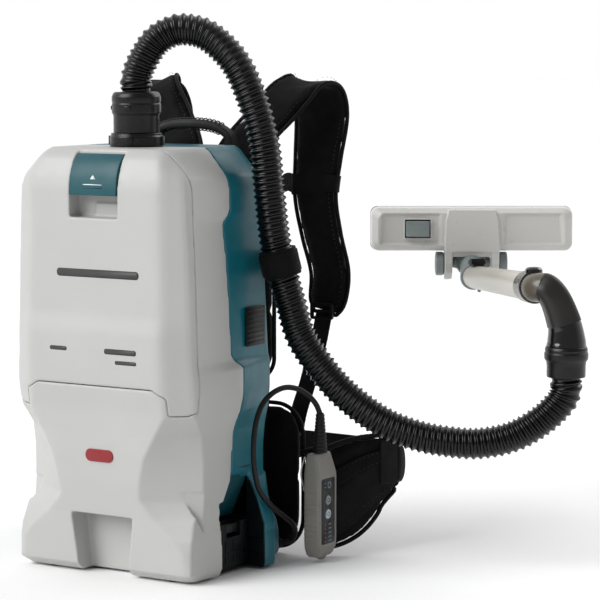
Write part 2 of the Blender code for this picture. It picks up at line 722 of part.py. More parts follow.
def nozzle_parts(frame):
    """Sole plate, bristle strip, pedal and wheels."""
    sole = add_mesh("sole_plate", *box((-141, 141), (18, 78), (-21, -16.4)), BLACK, 0.5,
                    parent=frame)
    for low, high in ((26, 40), (60.4, 67.6)):
        slot = box((-130, 130), (low, high), (-30, 0))
        carve(sole, add_mesh("tool", *slot, BLACK, parent=frame))
    add_mesh("bristle_strip", *box((-129, 129), (61, 67), (-21, -9)), BLACK, 0.95,
             pivot=(0, 64, -15), parent=frame)
    rocker = prism(((38, 14), (60, 14), (60, 23.5), (49, 21.5), (38, 24.5)), "X", -94, -60)
    add_mesh("pedal", *rocker, GREY, 0.4, pivot=(-77, 49, 17), parent=frame)
    for name, side in (("wheel_left", -1), ("wheel_right", 1)):
        tread = ((3.1, 0), (15, 0), (17, 2), (17, 10), (15, 12), (3.1, 12))
        centre = Vector((side * 39.0, -2, -2))
        smooth(add_mesh(name, *lathe(tread, centre, 28, Vector((side, 0, 0))), GREY, 0.6,
                        pivot=centre, parent=frame))


# ---------------------------------------------------------------- control pendant and cable

def pendant():
    """Hand control with two buttons, hanging on a belt clip."""
    cx, cy, cz = PENDANT
    sx, sy, sz = PENDANT_SIZE
    rows = ((-0.5, 0.84), (-0.46, 0.95), (-0.3, 1.0), (0.3, 1.0), (0.44, 0.93), (0.5, 0.8))
    rings = [[(cx + u * k, cy + v * k, cz + sz * h) for u, v in round_rect(sx / 2, sy / 2, 5)]
             for h, k in rows]
    case = add_mesh("pendant_case", *loft(rings), (0.27, 0.26, 0.22), 0.5)
    face = cx + sx / 2
    nub = disc(((3.0, 3.2), (4.5, 6.0), (4.5, 20.0)), (cx + 2, cy, 0), 12)
    carve(case, add_mesh("tool", *nub, GREY), "UNION")
    for z in (81, 63):
        hole = disc(((6.6, -6), (6.6, 4)), (face, cy, z), 24, Vector((1, 0, 0)))
        carve(case, add_mesh("tool", *hole, GREY))
    smooth(case, 30)
    for name, z, colour in (("mode_button", 81, (0.3, 0.3, 0.3)),
                            ("power_button", 63, (0.55, 0.62, 0.62))):
        cap = disc(((6.2, -3.6), (6.2, 0.6), (5.6, 1.2)), (face, cy, z), 24, Vector((1, 0, 0)))
        smooth(add_mesh(name, *cap, colour, 0.35, pivot=(face, cy, z)))
    back = cx - sx / 2
    clip = ((back - GAP, 126), (back - GAP, 134), (back - 8, 137), (back - 11, 130),
            (back - 10, 84), (back - 7, 84), (back - 7.5, 128))
    add_mesh("belt_clip", *prism(clip, "Y", cy - 13, cy + 13), STEEL, 0.3, 0.9)
    sleeve = ((CABLE_D / 2 + 0.4, 186), (CABLE_D / 2 + 2.0, 186), (8.2, cz + sz / 2 + GAP),
              (CABLE_D / 2 + 0.4, cz + sz / 2 + GAP))
    smooth(add_mesh("strain_relief", *lathe(sleeve, (184, 100, 0), 20), BLACK, 0.6))


def cable_gland():
    """Small gland in the rear corner of the leg."""
    way = Vector((0.63, 0.78, 0)).normalized()
    foot = Vector((124.6, 92.2, 20))
    shape = ((7.5, 0), (7.5, 2), (5, 3), (4.6, 6.4))
    smooth(add_mesh("cable_gland", *disc(shape, foot, 18, way), BLACK, 0.6))


# ---------------------------------------------------------------- harness

def harness_plate():
    """Stiff plate that carries the pads, with a stand-off for the lumbar pad."""
    side = ((84.6, 112), (84.6, 300), (83.6, 420), (83.6, 500), (88.4, 500), (89.9, 215),
            (111.4, 198), (111.4, 60), (99, 60))
    add_mesh("harness_plate", *prism(side, "X", -100, 100), BLACK, 0.6)


def pad_slab(name, half, low, high, y0, y1, radius):
    """Upright pad with rounded corners and a softened rim."""
    mid = (low + high) / 2
    rings = []
    for y, inset in ((y0, 6), (y0 + 5, 0), (y1 - 5, 0), (y1, 6)):
        outline = round_rect(half - inset, (high - low) / 2 - inset, radius - inset, 5)
        rings.append([(u, y, mid + v) for u, v in outline])
    smooth(add_mesh(name, *loft(rings), FABRIC, 0.95), 50)


def harness():
    """Pads, straps, sliders, waist belt and carry handle."""
    pad_slab("back_pad", 113, 226, 478, 91, 120, 30)
    pad_slab("lumbar_pad", 146, 6, 198, 112, 134, 42)
    for word, flip in (("right", 0), ("left", 1)):
        def side(route):
            return mirrored(route) if flip else route
        smooth(add_mesh("shoulder_pad_" + word, *ribbon(side(SHOULDER_PAD), PAD_THICK), FABRIC,
                        0.95), 60)
        smooth(add_mesh("shoulder_web_" + word, *ribbon(side(SHOULDER_WEB), WEB_THICK),
                        FABRIC, 0.9))
        smooth(add_mesh("hip_wing_" + word, *ribbon(side(HIP_WING), PAD_THICK, (0, 0, 1)), FABRIC,
                        0.95), 60)
        smooth(add_mesh("waist_web_" + word, *ribbon(side(WAIST_WEB), WEB_THICK, (0, 0, 1)),
                        FABRIC, 0.9))
        strap_slider("strap_slider_" + word, side(SHOULDER_PAD))
    add_mesh("buckle_socket", *box((0.4, 33), (264.5, 275.5), (97, 139)), BLACK, 0.4)
    add_mesh("buckle_tab", *box((-33, -0.4), (264.5, 275.5), (97, 139)), BLACK, 0.4)
    route = ((-64, 84.5, 500.6, 22), (-64, 84.5, 520, 22), (-57, 84.5, 541, 22),
             (-35, 84.5, 552, 22), (0, 84.5, 555, 22), (35, 84.5, 552, 22), (57, 84.5, 541, 22),
             (64, 84.5, 520, 22), (64, 84.5, 500.6, 22))
    smooth(add_mesh("carry_handle", *ribbon(route, 9, (1, 0, 1), 12, 4), BLACK, 0.7), 50)


def strap_slider(name, route):
    """Flat band round the shoulder pad at chest height."""
    points = [p for p in smooth_path(route, 6.0) if 462 < p.z < 488 and p.y > 150]
    centres = [p.resized(3) for p in points]
    loops = []
    for grow, order in ((3.0, 1), (0.5, -1)):
        for point, centre, way in list(zip(points, centres, tangents(centres)))[::order]:
            side = (Vector((1, 0, 0)) - way * way.x).normalized()
            normal = way.cross(side)
            section = round_rect(point[3] / 2 + grow, PAD_THICK / 2 + grow, PAD_THICK * 0.42 + grow, 2)
            loops.append([centre + side * u + normal * v for u, v in section])
    count = len(loops[0])
    verts = [p for loop in loops for p in loop]
    faces = []
    for i in range(len(loops)):
        a, b = i * count, ((i + 1) % len(loops)) * count
        for j in range(count):
            k = (j + 1) % count
            faces.append((a + j, a + k, b + k))
            faces.append((a + j, b + k, b + j))
    smooth(add_mesh(name, verts, faces, FABRIC, 0.9))


def main():
    """Build every part."""
    global FRAME
    for old in list(bpy.data.objects):
        bpy.data.objects.remove(old)
    FRAME = bpy.data.objects.new("unit_frame", None)
    bpy.context.scene.collection.objects.link(FRAME)
    FRAME.location = (0, FRAME_SHIFT_Y * MM, 0)
    housings()
    cover_latch()
    side_vent()
    battery_bay()
    for word, side in (("right", 1), ("left", -1)):
        battery("battery_" + word, side)
        battery_button("battery_button_" + word, side)
    insides()
    feet()
    intake()
    hose_holder()
    cord("hose", HOSE_ROUTE, HOSE_D, 16.0, BLACK, 3)
    end_cuff()
    elbow()
    wand()
    neck()
    frame = nozzle_frame()
    bpy.context.view_layer.update()
    nozzle_body(frame)
    nozzle_parts(frame)
    pendant()
    cable_gland()
    cord("cable", CABLE_ROUTE, CABLE_D, 9.0, BLACK, 2)
    harness_plate()
    harness()


main()
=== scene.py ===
"""Looks of a cordless backpack vacuum cleaner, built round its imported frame.

Shapes are written in millimetres in the unit's own frame: X is across the unit, -Y is the
dust-cover side, +Y is the wearer's side, +Z is up and Z = 0 is the floor.  world() turns them
into the row frame, in metres.
"""
import json
import math

import bmesh
import bpy
from mathutils import Matrix, Vector, noise
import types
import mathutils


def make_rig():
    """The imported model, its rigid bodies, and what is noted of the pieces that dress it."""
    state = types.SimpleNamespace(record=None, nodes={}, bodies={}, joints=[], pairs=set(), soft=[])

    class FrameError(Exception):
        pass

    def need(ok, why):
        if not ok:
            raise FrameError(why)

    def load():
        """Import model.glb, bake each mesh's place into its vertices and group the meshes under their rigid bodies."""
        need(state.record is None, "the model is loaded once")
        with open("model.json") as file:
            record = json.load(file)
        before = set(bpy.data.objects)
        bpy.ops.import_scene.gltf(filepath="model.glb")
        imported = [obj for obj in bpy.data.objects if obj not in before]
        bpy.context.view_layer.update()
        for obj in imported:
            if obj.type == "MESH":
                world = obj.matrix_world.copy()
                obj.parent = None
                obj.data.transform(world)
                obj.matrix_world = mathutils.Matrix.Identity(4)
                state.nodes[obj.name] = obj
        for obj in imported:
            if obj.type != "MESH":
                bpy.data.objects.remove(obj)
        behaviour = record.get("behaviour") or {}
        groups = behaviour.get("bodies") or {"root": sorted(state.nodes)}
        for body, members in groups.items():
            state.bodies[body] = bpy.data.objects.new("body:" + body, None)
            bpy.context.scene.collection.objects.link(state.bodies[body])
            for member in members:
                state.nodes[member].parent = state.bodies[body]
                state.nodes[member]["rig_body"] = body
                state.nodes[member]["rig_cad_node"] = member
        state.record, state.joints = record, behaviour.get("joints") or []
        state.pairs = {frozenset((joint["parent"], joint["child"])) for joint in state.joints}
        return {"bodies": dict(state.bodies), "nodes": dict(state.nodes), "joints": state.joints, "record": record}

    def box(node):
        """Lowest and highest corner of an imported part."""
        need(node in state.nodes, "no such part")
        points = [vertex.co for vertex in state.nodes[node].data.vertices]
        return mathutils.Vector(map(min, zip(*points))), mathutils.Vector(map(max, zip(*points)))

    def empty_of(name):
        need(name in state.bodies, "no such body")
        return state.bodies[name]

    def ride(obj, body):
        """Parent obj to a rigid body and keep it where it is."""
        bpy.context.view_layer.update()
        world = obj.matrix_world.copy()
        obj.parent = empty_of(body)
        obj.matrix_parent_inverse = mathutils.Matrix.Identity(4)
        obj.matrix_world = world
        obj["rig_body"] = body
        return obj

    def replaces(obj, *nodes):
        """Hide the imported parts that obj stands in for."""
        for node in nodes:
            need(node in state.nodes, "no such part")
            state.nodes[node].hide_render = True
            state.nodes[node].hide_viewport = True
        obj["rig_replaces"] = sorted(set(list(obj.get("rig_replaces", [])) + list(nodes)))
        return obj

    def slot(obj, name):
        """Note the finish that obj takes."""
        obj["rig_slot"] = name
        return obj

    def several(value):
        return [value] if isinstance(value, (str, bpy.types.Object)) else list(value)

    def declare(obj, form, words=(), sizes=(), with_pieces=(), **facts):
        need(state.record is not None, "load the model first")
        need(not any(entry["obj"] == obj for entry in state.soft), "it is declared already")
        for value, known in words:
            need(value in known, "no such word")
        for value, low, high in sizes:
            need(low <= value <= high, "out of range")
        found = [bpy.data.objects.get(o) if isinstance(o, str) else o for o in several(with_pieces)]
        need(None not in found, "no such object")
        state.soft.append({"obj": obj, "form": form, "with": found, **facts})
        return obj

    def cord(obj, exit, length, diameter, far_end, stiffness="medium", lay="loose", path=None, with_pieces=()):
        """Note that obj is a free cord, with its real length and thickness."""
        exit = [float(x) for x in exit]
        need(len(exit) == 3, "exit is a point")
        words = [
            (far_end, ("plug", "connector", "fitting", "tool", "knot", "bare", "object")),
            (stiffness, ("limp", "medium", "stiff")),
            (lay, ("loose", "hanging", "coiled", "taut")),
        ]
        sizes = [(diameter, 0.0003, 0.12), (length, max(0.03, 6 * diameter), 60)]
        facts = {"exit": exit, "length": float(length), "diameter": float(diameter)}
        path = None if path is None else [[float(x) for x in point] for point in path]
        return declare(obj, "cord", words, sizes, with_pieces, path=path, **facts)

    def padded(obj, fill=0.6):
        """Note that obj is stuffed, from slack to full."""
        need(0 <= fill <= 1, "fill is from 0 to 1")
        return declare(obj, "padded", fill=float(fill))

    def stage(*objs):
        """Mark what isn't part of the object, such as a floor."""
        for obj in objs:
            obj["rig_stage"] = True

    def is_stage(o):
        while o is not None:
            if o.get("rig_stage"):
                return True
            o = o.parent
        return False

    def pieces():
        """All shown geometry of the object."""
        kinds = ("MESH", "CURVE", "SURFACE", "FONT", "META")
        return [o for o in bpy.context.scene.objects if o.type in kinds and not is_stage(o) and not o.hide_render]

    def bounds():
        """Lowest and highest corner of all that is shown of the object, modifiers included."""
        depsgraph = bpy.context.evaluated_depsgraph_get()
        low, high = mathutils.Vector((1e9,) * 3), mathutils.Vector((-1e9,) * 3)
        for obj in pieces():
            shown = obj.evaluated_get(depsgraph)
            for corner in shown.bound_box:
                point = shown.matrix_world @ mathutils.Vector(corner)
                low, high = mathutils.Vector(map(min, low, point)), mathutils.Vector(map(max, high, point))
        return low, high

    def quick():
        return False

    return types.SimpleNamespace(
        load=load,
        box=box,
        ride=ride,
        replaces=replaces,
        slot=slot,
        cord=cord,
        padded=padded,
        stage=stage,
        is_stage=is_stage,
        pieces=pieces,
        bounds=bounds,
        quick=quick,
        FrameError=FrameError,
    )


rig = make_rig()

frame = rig.load()
CAD_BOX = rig.bounds()

MM = 0.001
SHIFT_Y = -70.75             # unit frame to row frame
WALL = 4.0                   # shell thickness
TOP_Z = 530.0
SEAM_Y = -101.0              # plane where the dust cover meets the housing
PORT = (0.0, -38.0)          # intake axis
PAD_THICK = 14.0
WAND_START = Vector((424.0, 216.0, 355.0))
WAND_END = Vector((183.0, 513.0, 332.0))
WAY = (WAND_END - WAND_START).normalized()
NOZZLE_PIVOT = Vector((153.0, 561.0, 348.0))
NOZZLE_YAW = math.radians(32.0)
HOSE_END = (476.0, 207.0, 246.0)
HOSE_D = 40.0
CABLE_D = 7.0

# Outer skin, one row for each height:
# z, front y, half width of the front face, front corner x y, side x, rear corner x y, back x y
SECTIONS = (
    (3.0, -105, 116, 126, -99, 135, 128, 75, 112, 88),
    (12.0, -115, 122, 131, -113, 139, 132, 85, 116, 98),
    (40.0, -116, 121, 131, -112, 139, 132, 84, 116, 98),
    (54.0, -117, 108, 131, -110, 138, 130, 82, 114, 96),
    (77.0, -118, 80, 129, -101, 134, 128, 66, 110, 84),
    (100.0, -121, 59, 130, -84, 131, 126, 58, 106, 80),
    (120.0, -124, 61, 130, -82, 130, 126, 57, 106, 80),
    (153.0, -126, 69, 130, -82, 131, 126, 57, 106, 80),
    (181.0, -126, 85, 130, -86, 133, 127, 60, 107, 80),
    (206.0, -127, 100, 133, -104, 139, 129, 66, 108, 82),
    (240.0, -132, 100, 137, -108, 141, 130, 70, 109, 84),
    (258.0, -133, 100, 136, -109, 141, 130, 70, 109, 84),
    (268.0, -133.5, 100, 135, -109, 132, 129, 68, 108, 83),
    (300.0, -134, 99, 134, -110, 131, 128, 66, 107, 82),
    (333.0, -130, 99, 133, -110, 130, 127, 65, 106, 81),
    (400.0, -130, 98, 131, -110, 126, 124, 62, 105, 80),
    (437.0, -130, 97, 129, -111, 123, 122, 58, 104, 79),
    (452.0, -130, 97, 128, -111, 128, 122, 56, 104, 79),
    (478.0, -130, 97, 127, -111, 127, 122, 55, 104, 78),
    (493.0, -128, 97, 124, -108, 124, 119, 54, 102, 76),
    (505.0, -124, 95, 116, -104, 115, 112, 53, 98, 74),
    (518.0, -118, 92, 104, -98, 104, 101, 52, 90, 71),
    (526.0, -110, 88, 96, -92, 97, 94, 50, 85, 68),
    (TOP_Z, -104, 84, 90, -86, 91, 88, 48, 80, 64),
)
SIDE_Y = -20.0

# Line between the white front housing and the teal rear housing (y, z)
PARTING = ((-20, 545), (-20, 455), (-30, 437), (-28, 395), (-24, 275), (-8, 258), (-8, 220),
           (-20, 189), (-24, 119), (-52, 77), (-52, -5))
COVER_OUTLINE = ((0, 240), (86, 240), (105, 230), (105.5, 208.5), (124, 208.5), (134, 213),
                 (141, 222), (146, 236), (160, 240), (160, 560), (0, 560))

HOSE_ROUTE = (
    (0, -38, 598.2), (0, -38, 606), (0.2, -38, 615), (6, -35, 633), (20, -26, 659),
    (38, -17, 672), (55, -10, 675), (78, 0, 669), (101, 9, 650), (118, 16, 626), (132, 22, 591),
    (141, 26, 560), (147, 29, 528), (151, 31, 486), (155, 34, 436), (158, 38, 405),
    (165, 44, 366), (173, 49, 333), (185, 54, 292), (211, 66, 250), (237, 79, 219),
    (274, 98, 189), (310, 118, 172), (345, 137, 164), (382, 156, 162), (419, 176, 171),
    (449, 193, 191), (469, 203.5, 213), (475.8, 207, 228), (476, 207, 238), HOSE_END)
CABLE_ROUTE = (
    (129.2, 97.7, 20), (137, 105.5, 22), (144, 104, 34), (148, 92, 46), (149, 68, 61),
    (151, 41, 76), (148, 18, 97), (148, 7, 115), (148, 1, 140), (148, 1, 166), (149, 5, 189),
    (151, 15, 209), (155, 31, 222), (161, 51, 228), (168, 70, 225), (175, 86, 215),
    (181, 95, 203), (184, 100, 190))

# Harness centre lines: x, y, z, width
SHOULDER_PAD = ((36, 112, 494, 66), (48, 125, 522, 66), (78, 143, 562, 64), (106, 156, 594, 66),
                (122, 172, 607, 72), (124, 193, 596, 78), (122, 204, 563, 80),
                (119, 200, 510, 72), (120, 192, 460, 65), (128, 194, 410, 62),
                (137, 200, 362, 60), (136, 197, 325, 56), (134, 194, 308, 38))
SHOULDER_WEB = ((133, 193, 306.5, 25), (132, 181, 272, 25), (127, 165, 225, 25),
                (121, 152, 185, 25), (118, 145, 158, 25))
HIP_WING = ((157, 124, 73, 132), (178, 144, 80, 130), (205, 172, 104, 104),
            (225, 200, 117, 78), (232, 213, 118, 58))
WAIST_WEB = ((229, 221, 118, 38), (208, 246, 118, 38), (160, 262, 118, 38), (100, 268, 118, 38),
             (34, 270, 118, 38))


def world(point):
    """Unit-frame millimetres to row-frame metres."""
    return Vector((point[0], point[1] + SHIFT_Y, point[2])) * MM


# ---------------------------------------------------------------- materials

def srgb(*values):
    """Linear colour from 0-255 display values."""
    out = []
    for value in values:
        c = value / 255
        out.append(c / 12.92 if c <= 0.04045 else ((c + 0.055) / 1.055) ** 2.4)
    return (*out, 1.0)


class Graph:
    """Small helper round one node material."""

    def __init__(self, name, **sockets):
        self.mat = bpy.data.materials.new(name)
        self.mat.use_nodes = True
        self.tree = self.mat.node_tree
        self.shader = self.tree.nodes["Principled BSDF"]
        for key, value in sockets.items():
            self.shader.inputs[key.replace("_", " ").title().replace("Ior", "IOR")].default_value = value
        self.place = self.node("ShaderNodeTexCoord").outputs["Object"]

    def node(self, kind, **values):
        """Add a node; plain values go to its properties or, with a leading capital, its inputs."""
        made = self.tree.nodes.new(kind)
        for key, value in values.items():
            if hasattr(made, key):
                setattr(made, key, value)
            else:
                made.inputs[key].default_value = value
        return made

    def link(self, out, into):
        """Join two sockets."""
        self.tree.links.new(out, into)

    def noise(self, scale, detail=3.0, source=None):
        """Noise value over the piece."""
        made = self.node("ShaderNodeTexNoise", Scale=scale, Detail=detail)
        self.link(source or self.place, made.inputs["Vector"])
        return made.outputs["Fac"]

    def ramp(self, value, low, high, at=(0.3, 0.7)):
        """Map a value between two colours."""
        made = self.node("ShaderNodeValToRGB")
        made.color_ramp.elements[0].position = at[0]
        made.color_ramp.elements[1].position = at[1]
        made.color_ramp.elements[0].color = low
        made.color_ramp.elements[1].color = high
        self.link(value, made.inputs["Fac"])
        return made.outputs["Color"]

    def spread(self, value, low, high, start=0.3, end=0.7):
        """Map a value to a number range."""
        made = self.node("ShaderNodeMapRange")
        made.inputs["From Min"].default_value = start
        made.inputs["From Max"].default_value = end
        made.inputs["To Min"].default_value = low
        made.inputs["To Max"].default_value = high
        self.link(value, made.inputs["Value"])
        return made.outputs["Result"]

    def mix(self, factor, a, b, mode="MIX"):
        """Mix two colour sockets."""
        made = self.node("ShaderNodeMixRGB", blend_type=mode)
        for socket, value in zip(made.inputs, (factor, a, b)):
            if isinstance(value, bpy.types.NodeSocket):
                self.link(value, socket)
            else:
                socket.default_value = value
        return made.outputs["Color"]

    def maths(self, operation, a, b=0.0):
        """One arithmetic step."""
        made = self.node("ShaderNodeMath", operation=operation)
        for socket, value in zip(made.inputs, (a, b)):
            if isinstance(value, bpy.types.NodeSocket):
                self.link(value, socket)
            else:
                socket.default_value = value
        return made.outputs["Value"]

    def bump(self, height, distance, strength=1.0, under=None):
        """Bump from a height value, over another bump."""
        made = self.node("ShaderNodeBump", Strength=strength, Distance=distance)
        self.link(height, made.inputs["Height"])
        if under is not None:
            self.link(under, made.inputs["Normal"])
        return made.outputs["Normal"]

    def out(self, colour=None, rough=None, normal=None):
        """Join colour, roughness and normal to the shader."""
        for socket, value in (("Base Color", colour), ("Roughness", rough), ("Normal", normal)):
            if value is not None:
                self.link(value, self.shader.inputs[socket])
        return self.mat


def shade(colour, gain):
    """The same colour, brighter or darker."""
    return (*(min(1.0, c * gain) for c in colour[:3]), 1.0)


def moulded(name, colour, rough, grain=0.00006, vary=0.05, wear=1.25, **sockets):
    """Moulded plastic: fine grain, faint mottling and rubbed edges."""
    g = Graph(name, **sockets)
    base = g.ramp(g.noise(14, 4), shade(colour, 1 - vary), shade(colour, 1 + vary))
    edge = g.node("ShaderNodeNewGeometry").outputs["Pointiness"]
    rub = g.maths("MULTIPLY", g.spread(edge, 0, 1, 0.53, 0.6), g.spread(g.noise(160, 5), 0, 0.55, 0.4, 0.7))
    base = g.mix(rub, base, shade(colour, wear))
    shine = g.spread(g.noise(55, 5), rough - 0.06, rough + 0.07)
    skin_grain = g.bump(g.noise(2600, 2), grain)
    return g.out(base, shine, g.bump(g.noise(30, 2), 0.0002, 0.35, skin_grain))


def glossy(name, colour, rough, **sockets):
    """Smooth plastic with nothing but a faint mottling."""
    g = Graph(name, roughness=rough, **sockets)
    return g.out(g.ramp(g.noise(14, 4), shade(colour, 0.98), shade(colour, 1.02)))


def woven(name, colour, pitch, depth, rough=0.85, ribbed=False, **sockets):
    """Woven cloth from the strap_uv attribute, or from object space where there is none."""
    g = Graph(name, **sockets)
    place = g.place
    if ribbed:
        attribute = g.node("ShaderNodeAttribute")
        attribute.attribute_name = "strap_uv"
        place = attribute.outputs["Vector"]
    waves = []
    for direction in ("X", "Y") if ribbed else ("X", "Z"):
        wave = g.node("ShaderNodeTexWave", bands_direction=direction, Scale=0.314 / pitch,
                      Distortion=0.4)
        g.link(place, wave.inputs["Vector"])
        waves.append(wave.outputs["Fac"])
    weave = g.maths("MULTIPLY", waves[0], waves[1])
    thread = g.mix(weave, shade(colour, 0.55), shade(colour, 1.5))
    dust = g.spread(g.noise(24, 5), 0.75, 1.35)
    tone = g.node("ShaderNodeVectorMath", operation="SCALE")
    g.link(thread, tone.inputs[0])
    g.link(dust, tone.inputs["Scale"])
    fuzz = g.bump(g.noise(900, 4), depth * 0.5)
    normal = g.bump(weave, depth, 1.0, fuzz)
    return g.out(tone.outputs["Vector"], g.spread(g.noise(60, 4), rough - 0.1, rough + 0.08), normal)


def brushed(name, colour, rough):
    """Bare metal with fine drawn lines."""
    g = Graph(name, metallic=1.0)
    lines = g.node("ShaderNodeMapping")
    lines.inputs["Scale"].default_value = (40, 1200, 1200)
    g.link(g.place, lines.inputs["Vector"])
    streak = g.noise(1.0, 4, lines.outputs["Vector"])
    base = g.ramp(streak, shade(colour, 0.8), shade(colour, 1.1))
    return g.out(base, g.spread(streak, rough - 0.08, rough + 0.12), g.bump(streak, 0.00003))


MAT = {
    "shell": moulded("shell_plastic", srgb(176, 176, 174), 0.45, vary=0.018, wear=1.08),
    "teal": moulded("teal_plastic", srgb(0, 94, 108), 0.38, vary=0.05, wear=1.3),
    # darker copy of the teal plastic: painted shade for the shaded ceiling of the battery opening
    "shade": moulded("teal_recess", srgb(0, 62, 72), 0.5, vary=0.05, wear=1.1),
    "latch": moulded("latch_plastic", srgb(14, 74, 82), 0.42, vary=0.03, specular_ior_level=0.35),
    "black": moulded("black_plastic", srgb(8, 8, 8), 0.3, vary=0.2, wear=1.6, specular_ior_level=0.35),
    "satin": moulded("satin_black", srgb(10, 10, 10), 0.45, vary=0.2, wear=1.6, specular_ior_level=0.3),
    # near-black plastic of the bay and the packs; it also gives painted shade on the sheets over the rear legs' front
    # faces
    "bay": moulded("bay_plastic", srgb(0, 7, 9), 0.5, vary=0.2, wear=1.6, specular_ior_level=0.2),
    "rubber": moulded("black_rubber", srgb(14, 14, 14), 0.55, grain=0.0001, vary=0.2, wear=1.5,
                      specular_ior_level=0.3),
    "hose": moulded("hose_plastic", srgb(5, 5, 5), 0.24, grain=0.00002, vary=0.25, wear=1.3,
                    specular_ior_level=0.32, coat_weight=0.05, coat_roughness=0.08),
    "smoke": moulded("smoke_plastic", srgb(12, 11, 11), 0.14, grain=0.00001, vary=0.15, wear=1.3,
                     coat_weight=0.45, coat_roughness=0.06),
    "grip": moulded("grip_plastic", srgb(34, 32, 31), 0.4, vary=0.1, wear=1.2,
                    specular_ior_level=0.35),
    "ferrule": glossy("ferrule_plastic", srgb(86, 80, 70), 0.24, transmission_weight=0.1),
    "wand": glossy("wand_plastic", srgb(182, 179, 168), 0.3),
    "nozzle": moulded("nozzle_plastic", srgb(199, 198, 194), 0.32, grain=0.00001, vary=0.02, wear=1.04),
    "grey": moulded("grey_plastic", srgb(124, 133, 133), 0.36, grain=0.00001, vary=0.04, wear=1.1),
    "pendant": moulded("pendant_plastic", srgb(119, 117, 111), 0.5, grain=0.00012, vary=0.04),
    "panel": moulded("panel_film", srgb(9, 10, 14), 0.35, grain=0.00001, vary=0.1, wear=1.2,
                     specular_ior_level=0.25),
    "key": moulded("key_rubber", srgb(172, 186, 190), 0.45, vary=0.04),
    "red": moulded("badge_red", srgb(134, 26, 32), 0.3, grain=0.00001, vary=0.05),
    "mark": moulded("pale_mark", srgb(214, 226, 226), 0.4, grain=0.00001, vary=0.03),
    "lamp": moulded("lamp_window", srgb(92, 112, 132), 0.3, grain=0.00001, vary=0.1),
    "print": moulded("grey_print", srgb(52, 52, 53), 0.5, grain=0.00001, vary=0.03),
    "fabric": woven("pad_fabric", srgb(7, 7, 7), 0.0011, 0.00022, 0.8, specular_ior_level=0.15,
                    sheen_weight=0.03, sheen_roughness=0.4),
    "nylon": woven("nylon_face", srgb(7, 7, 7), 0.0007, 0.00008, 0.6, specular_ior_level=0.15,
                   sheen_weight=0.03, sheen_roughness=0.3),
    "web": woven("strap_web", srgb(8, 8, 8), 0.0016, 0.0003, 0.65, ribbed=True,
                 specular_ior_level=0.2, sheen_weight=0.04, sheen_roughness=0.4),
    "thread": woven("stitch_thread", srgb(26, 26, 27), 0.0005, 0.00005, 0.6),
    "bag": woven("bag_cloth", srgb(205, 200, 186), 0.0012, 0.0001, 0.9),
    "filter": woven("filter_cloth", srgb(226, 224, 216), 0.0009, 0.0001, 0.9),
    "bristle": woven("bristle_hair", srgb(22, 22, 22), 0.0006, 0.0004, 0.8),
    "steel": brushed("bare_steel", srgb(190, 190, 190), 0.32),
    "alloy": brushed("turned_alloy", srgb(205, 205, 205), 0.28),
    "board": moulded("board_laminate", srgb(24, 92, 60), 0.4, vary=0.1),
}
SLOTS = {"satin": "black", "shade": "teal", "bay": "pack", "grip": "smoke", "ferrule": "smoke",
         "panel": "black", "mark": "key", "lamp": "key", "print": "shell", "fabric": "pad",
         "nylon": "pad", "web": "webbing", "thread": "webbing", "alloy": "rotor_alloy"}


# ---------------------------------------------------------------- mesh helpers

def bare(name, verts, faces):
    """Closed mesh object from unit-frame millimetres, with nothing else set."""
    mesh = bpy.data.meshes.new(name)
    mesh.from_pydata([world(v) for v in verts], [], faces)
    bm = bmesh.new()
    bm.from_mesh(mesh)
    bmesh.ops.remove_doubles(bm, verts=bm.verts, dist=1e-6)
    bmesh.ops.recalc_face_normals(bm, faces=bm.faces)
    bm.to_mesh(mesh)
    bm.free()
    obj = bpy.data.objects.new(name, mesh)
    bpy.context.scene.collection.objects.link(obj)
    return obj


def settle(obj):
    """Apply every modifier on an object."""
    bpy.context.view_layer.update()
    graph = bpy.context.evaluated_depsgraph_get()
    mesh = bpy.data.meshes.new_from_object(obj.evaluated_get(graph))
    obj.modifiers.clear()
    old = obj.data
    obj.data = mesh
    bpy.data.meshes.remove(old)
    return obj


def carve(obj, tool, operation="DIFFERENCE"):
    """Apply a Boolean and remove the tool."""
    mod = obj.modifiers.new("carve", "BOOLEAN")
    mod.object = tool
    mod.operation = operation
    mod.solver = "MANIFOLD"
    settle(obj)
    bpy.data.objects.remove(tool)
    return obj


def cut(obj, shape, operation="DIFFERENCE"):
    """Boolean with a tool given as verts and faces."""
    return carve(obj, bare("tool", *shape), operation)


def soften(obj, voxel, rounds=3, factor=0.5):
    """Rebuild a mesh as even small faces and round its edges."""
    mod = obj.modifiers.new("even", "REMESH")
    mod.mode = "VOXEL"
    mod.voxel_size = voxel * MM
    mod = obj.modifiers.new("round", "SMOOTH")
    mod.factor = factor
    mod.iterations = rounds
    return settle(obj)


def bevel(obj, width, segments=3, angle=30):
    """Round an object's sharp edges."""
    mod = obj.modifiers.new("bevel", "BEVEL")
    mod.width = width * MM
    mod.segments = segments
    mod.limit_method = "ANGLE"
    mod.angle_limit = math.radians(angle)
    mod.use_clamp_overlap = True
    return settle(obj)


def show(obj, finish, body="root", nodes=(), angle=None):
    """Give a piece its material, its body and the CAD nodes that it stands for."""
    obj.data.materials.clear()
    obj.data.materials.append(MAT[finish])
    if obj.type == "MESH":
        obj.data.shade_smooth()
        if angle:
            obj.data.set_sharp_from_angle(angle=math.radians(angle))
    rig.ride(obj, body)
    if nodes:
        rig.replaces(obj, *([nodes] if isinstance(nodes, str) else nodes))
    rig.slot(obj, SLOTS.get(finish, finish))
    return obj


def piece(name, shape, *settings, edge=None):
    """New piece from verts and faces, with bevel() and show() settings."""
    obj = bare(name, *shape)
    if edge:
        bevel(obj, *edge)
    return show(obj, *settings)


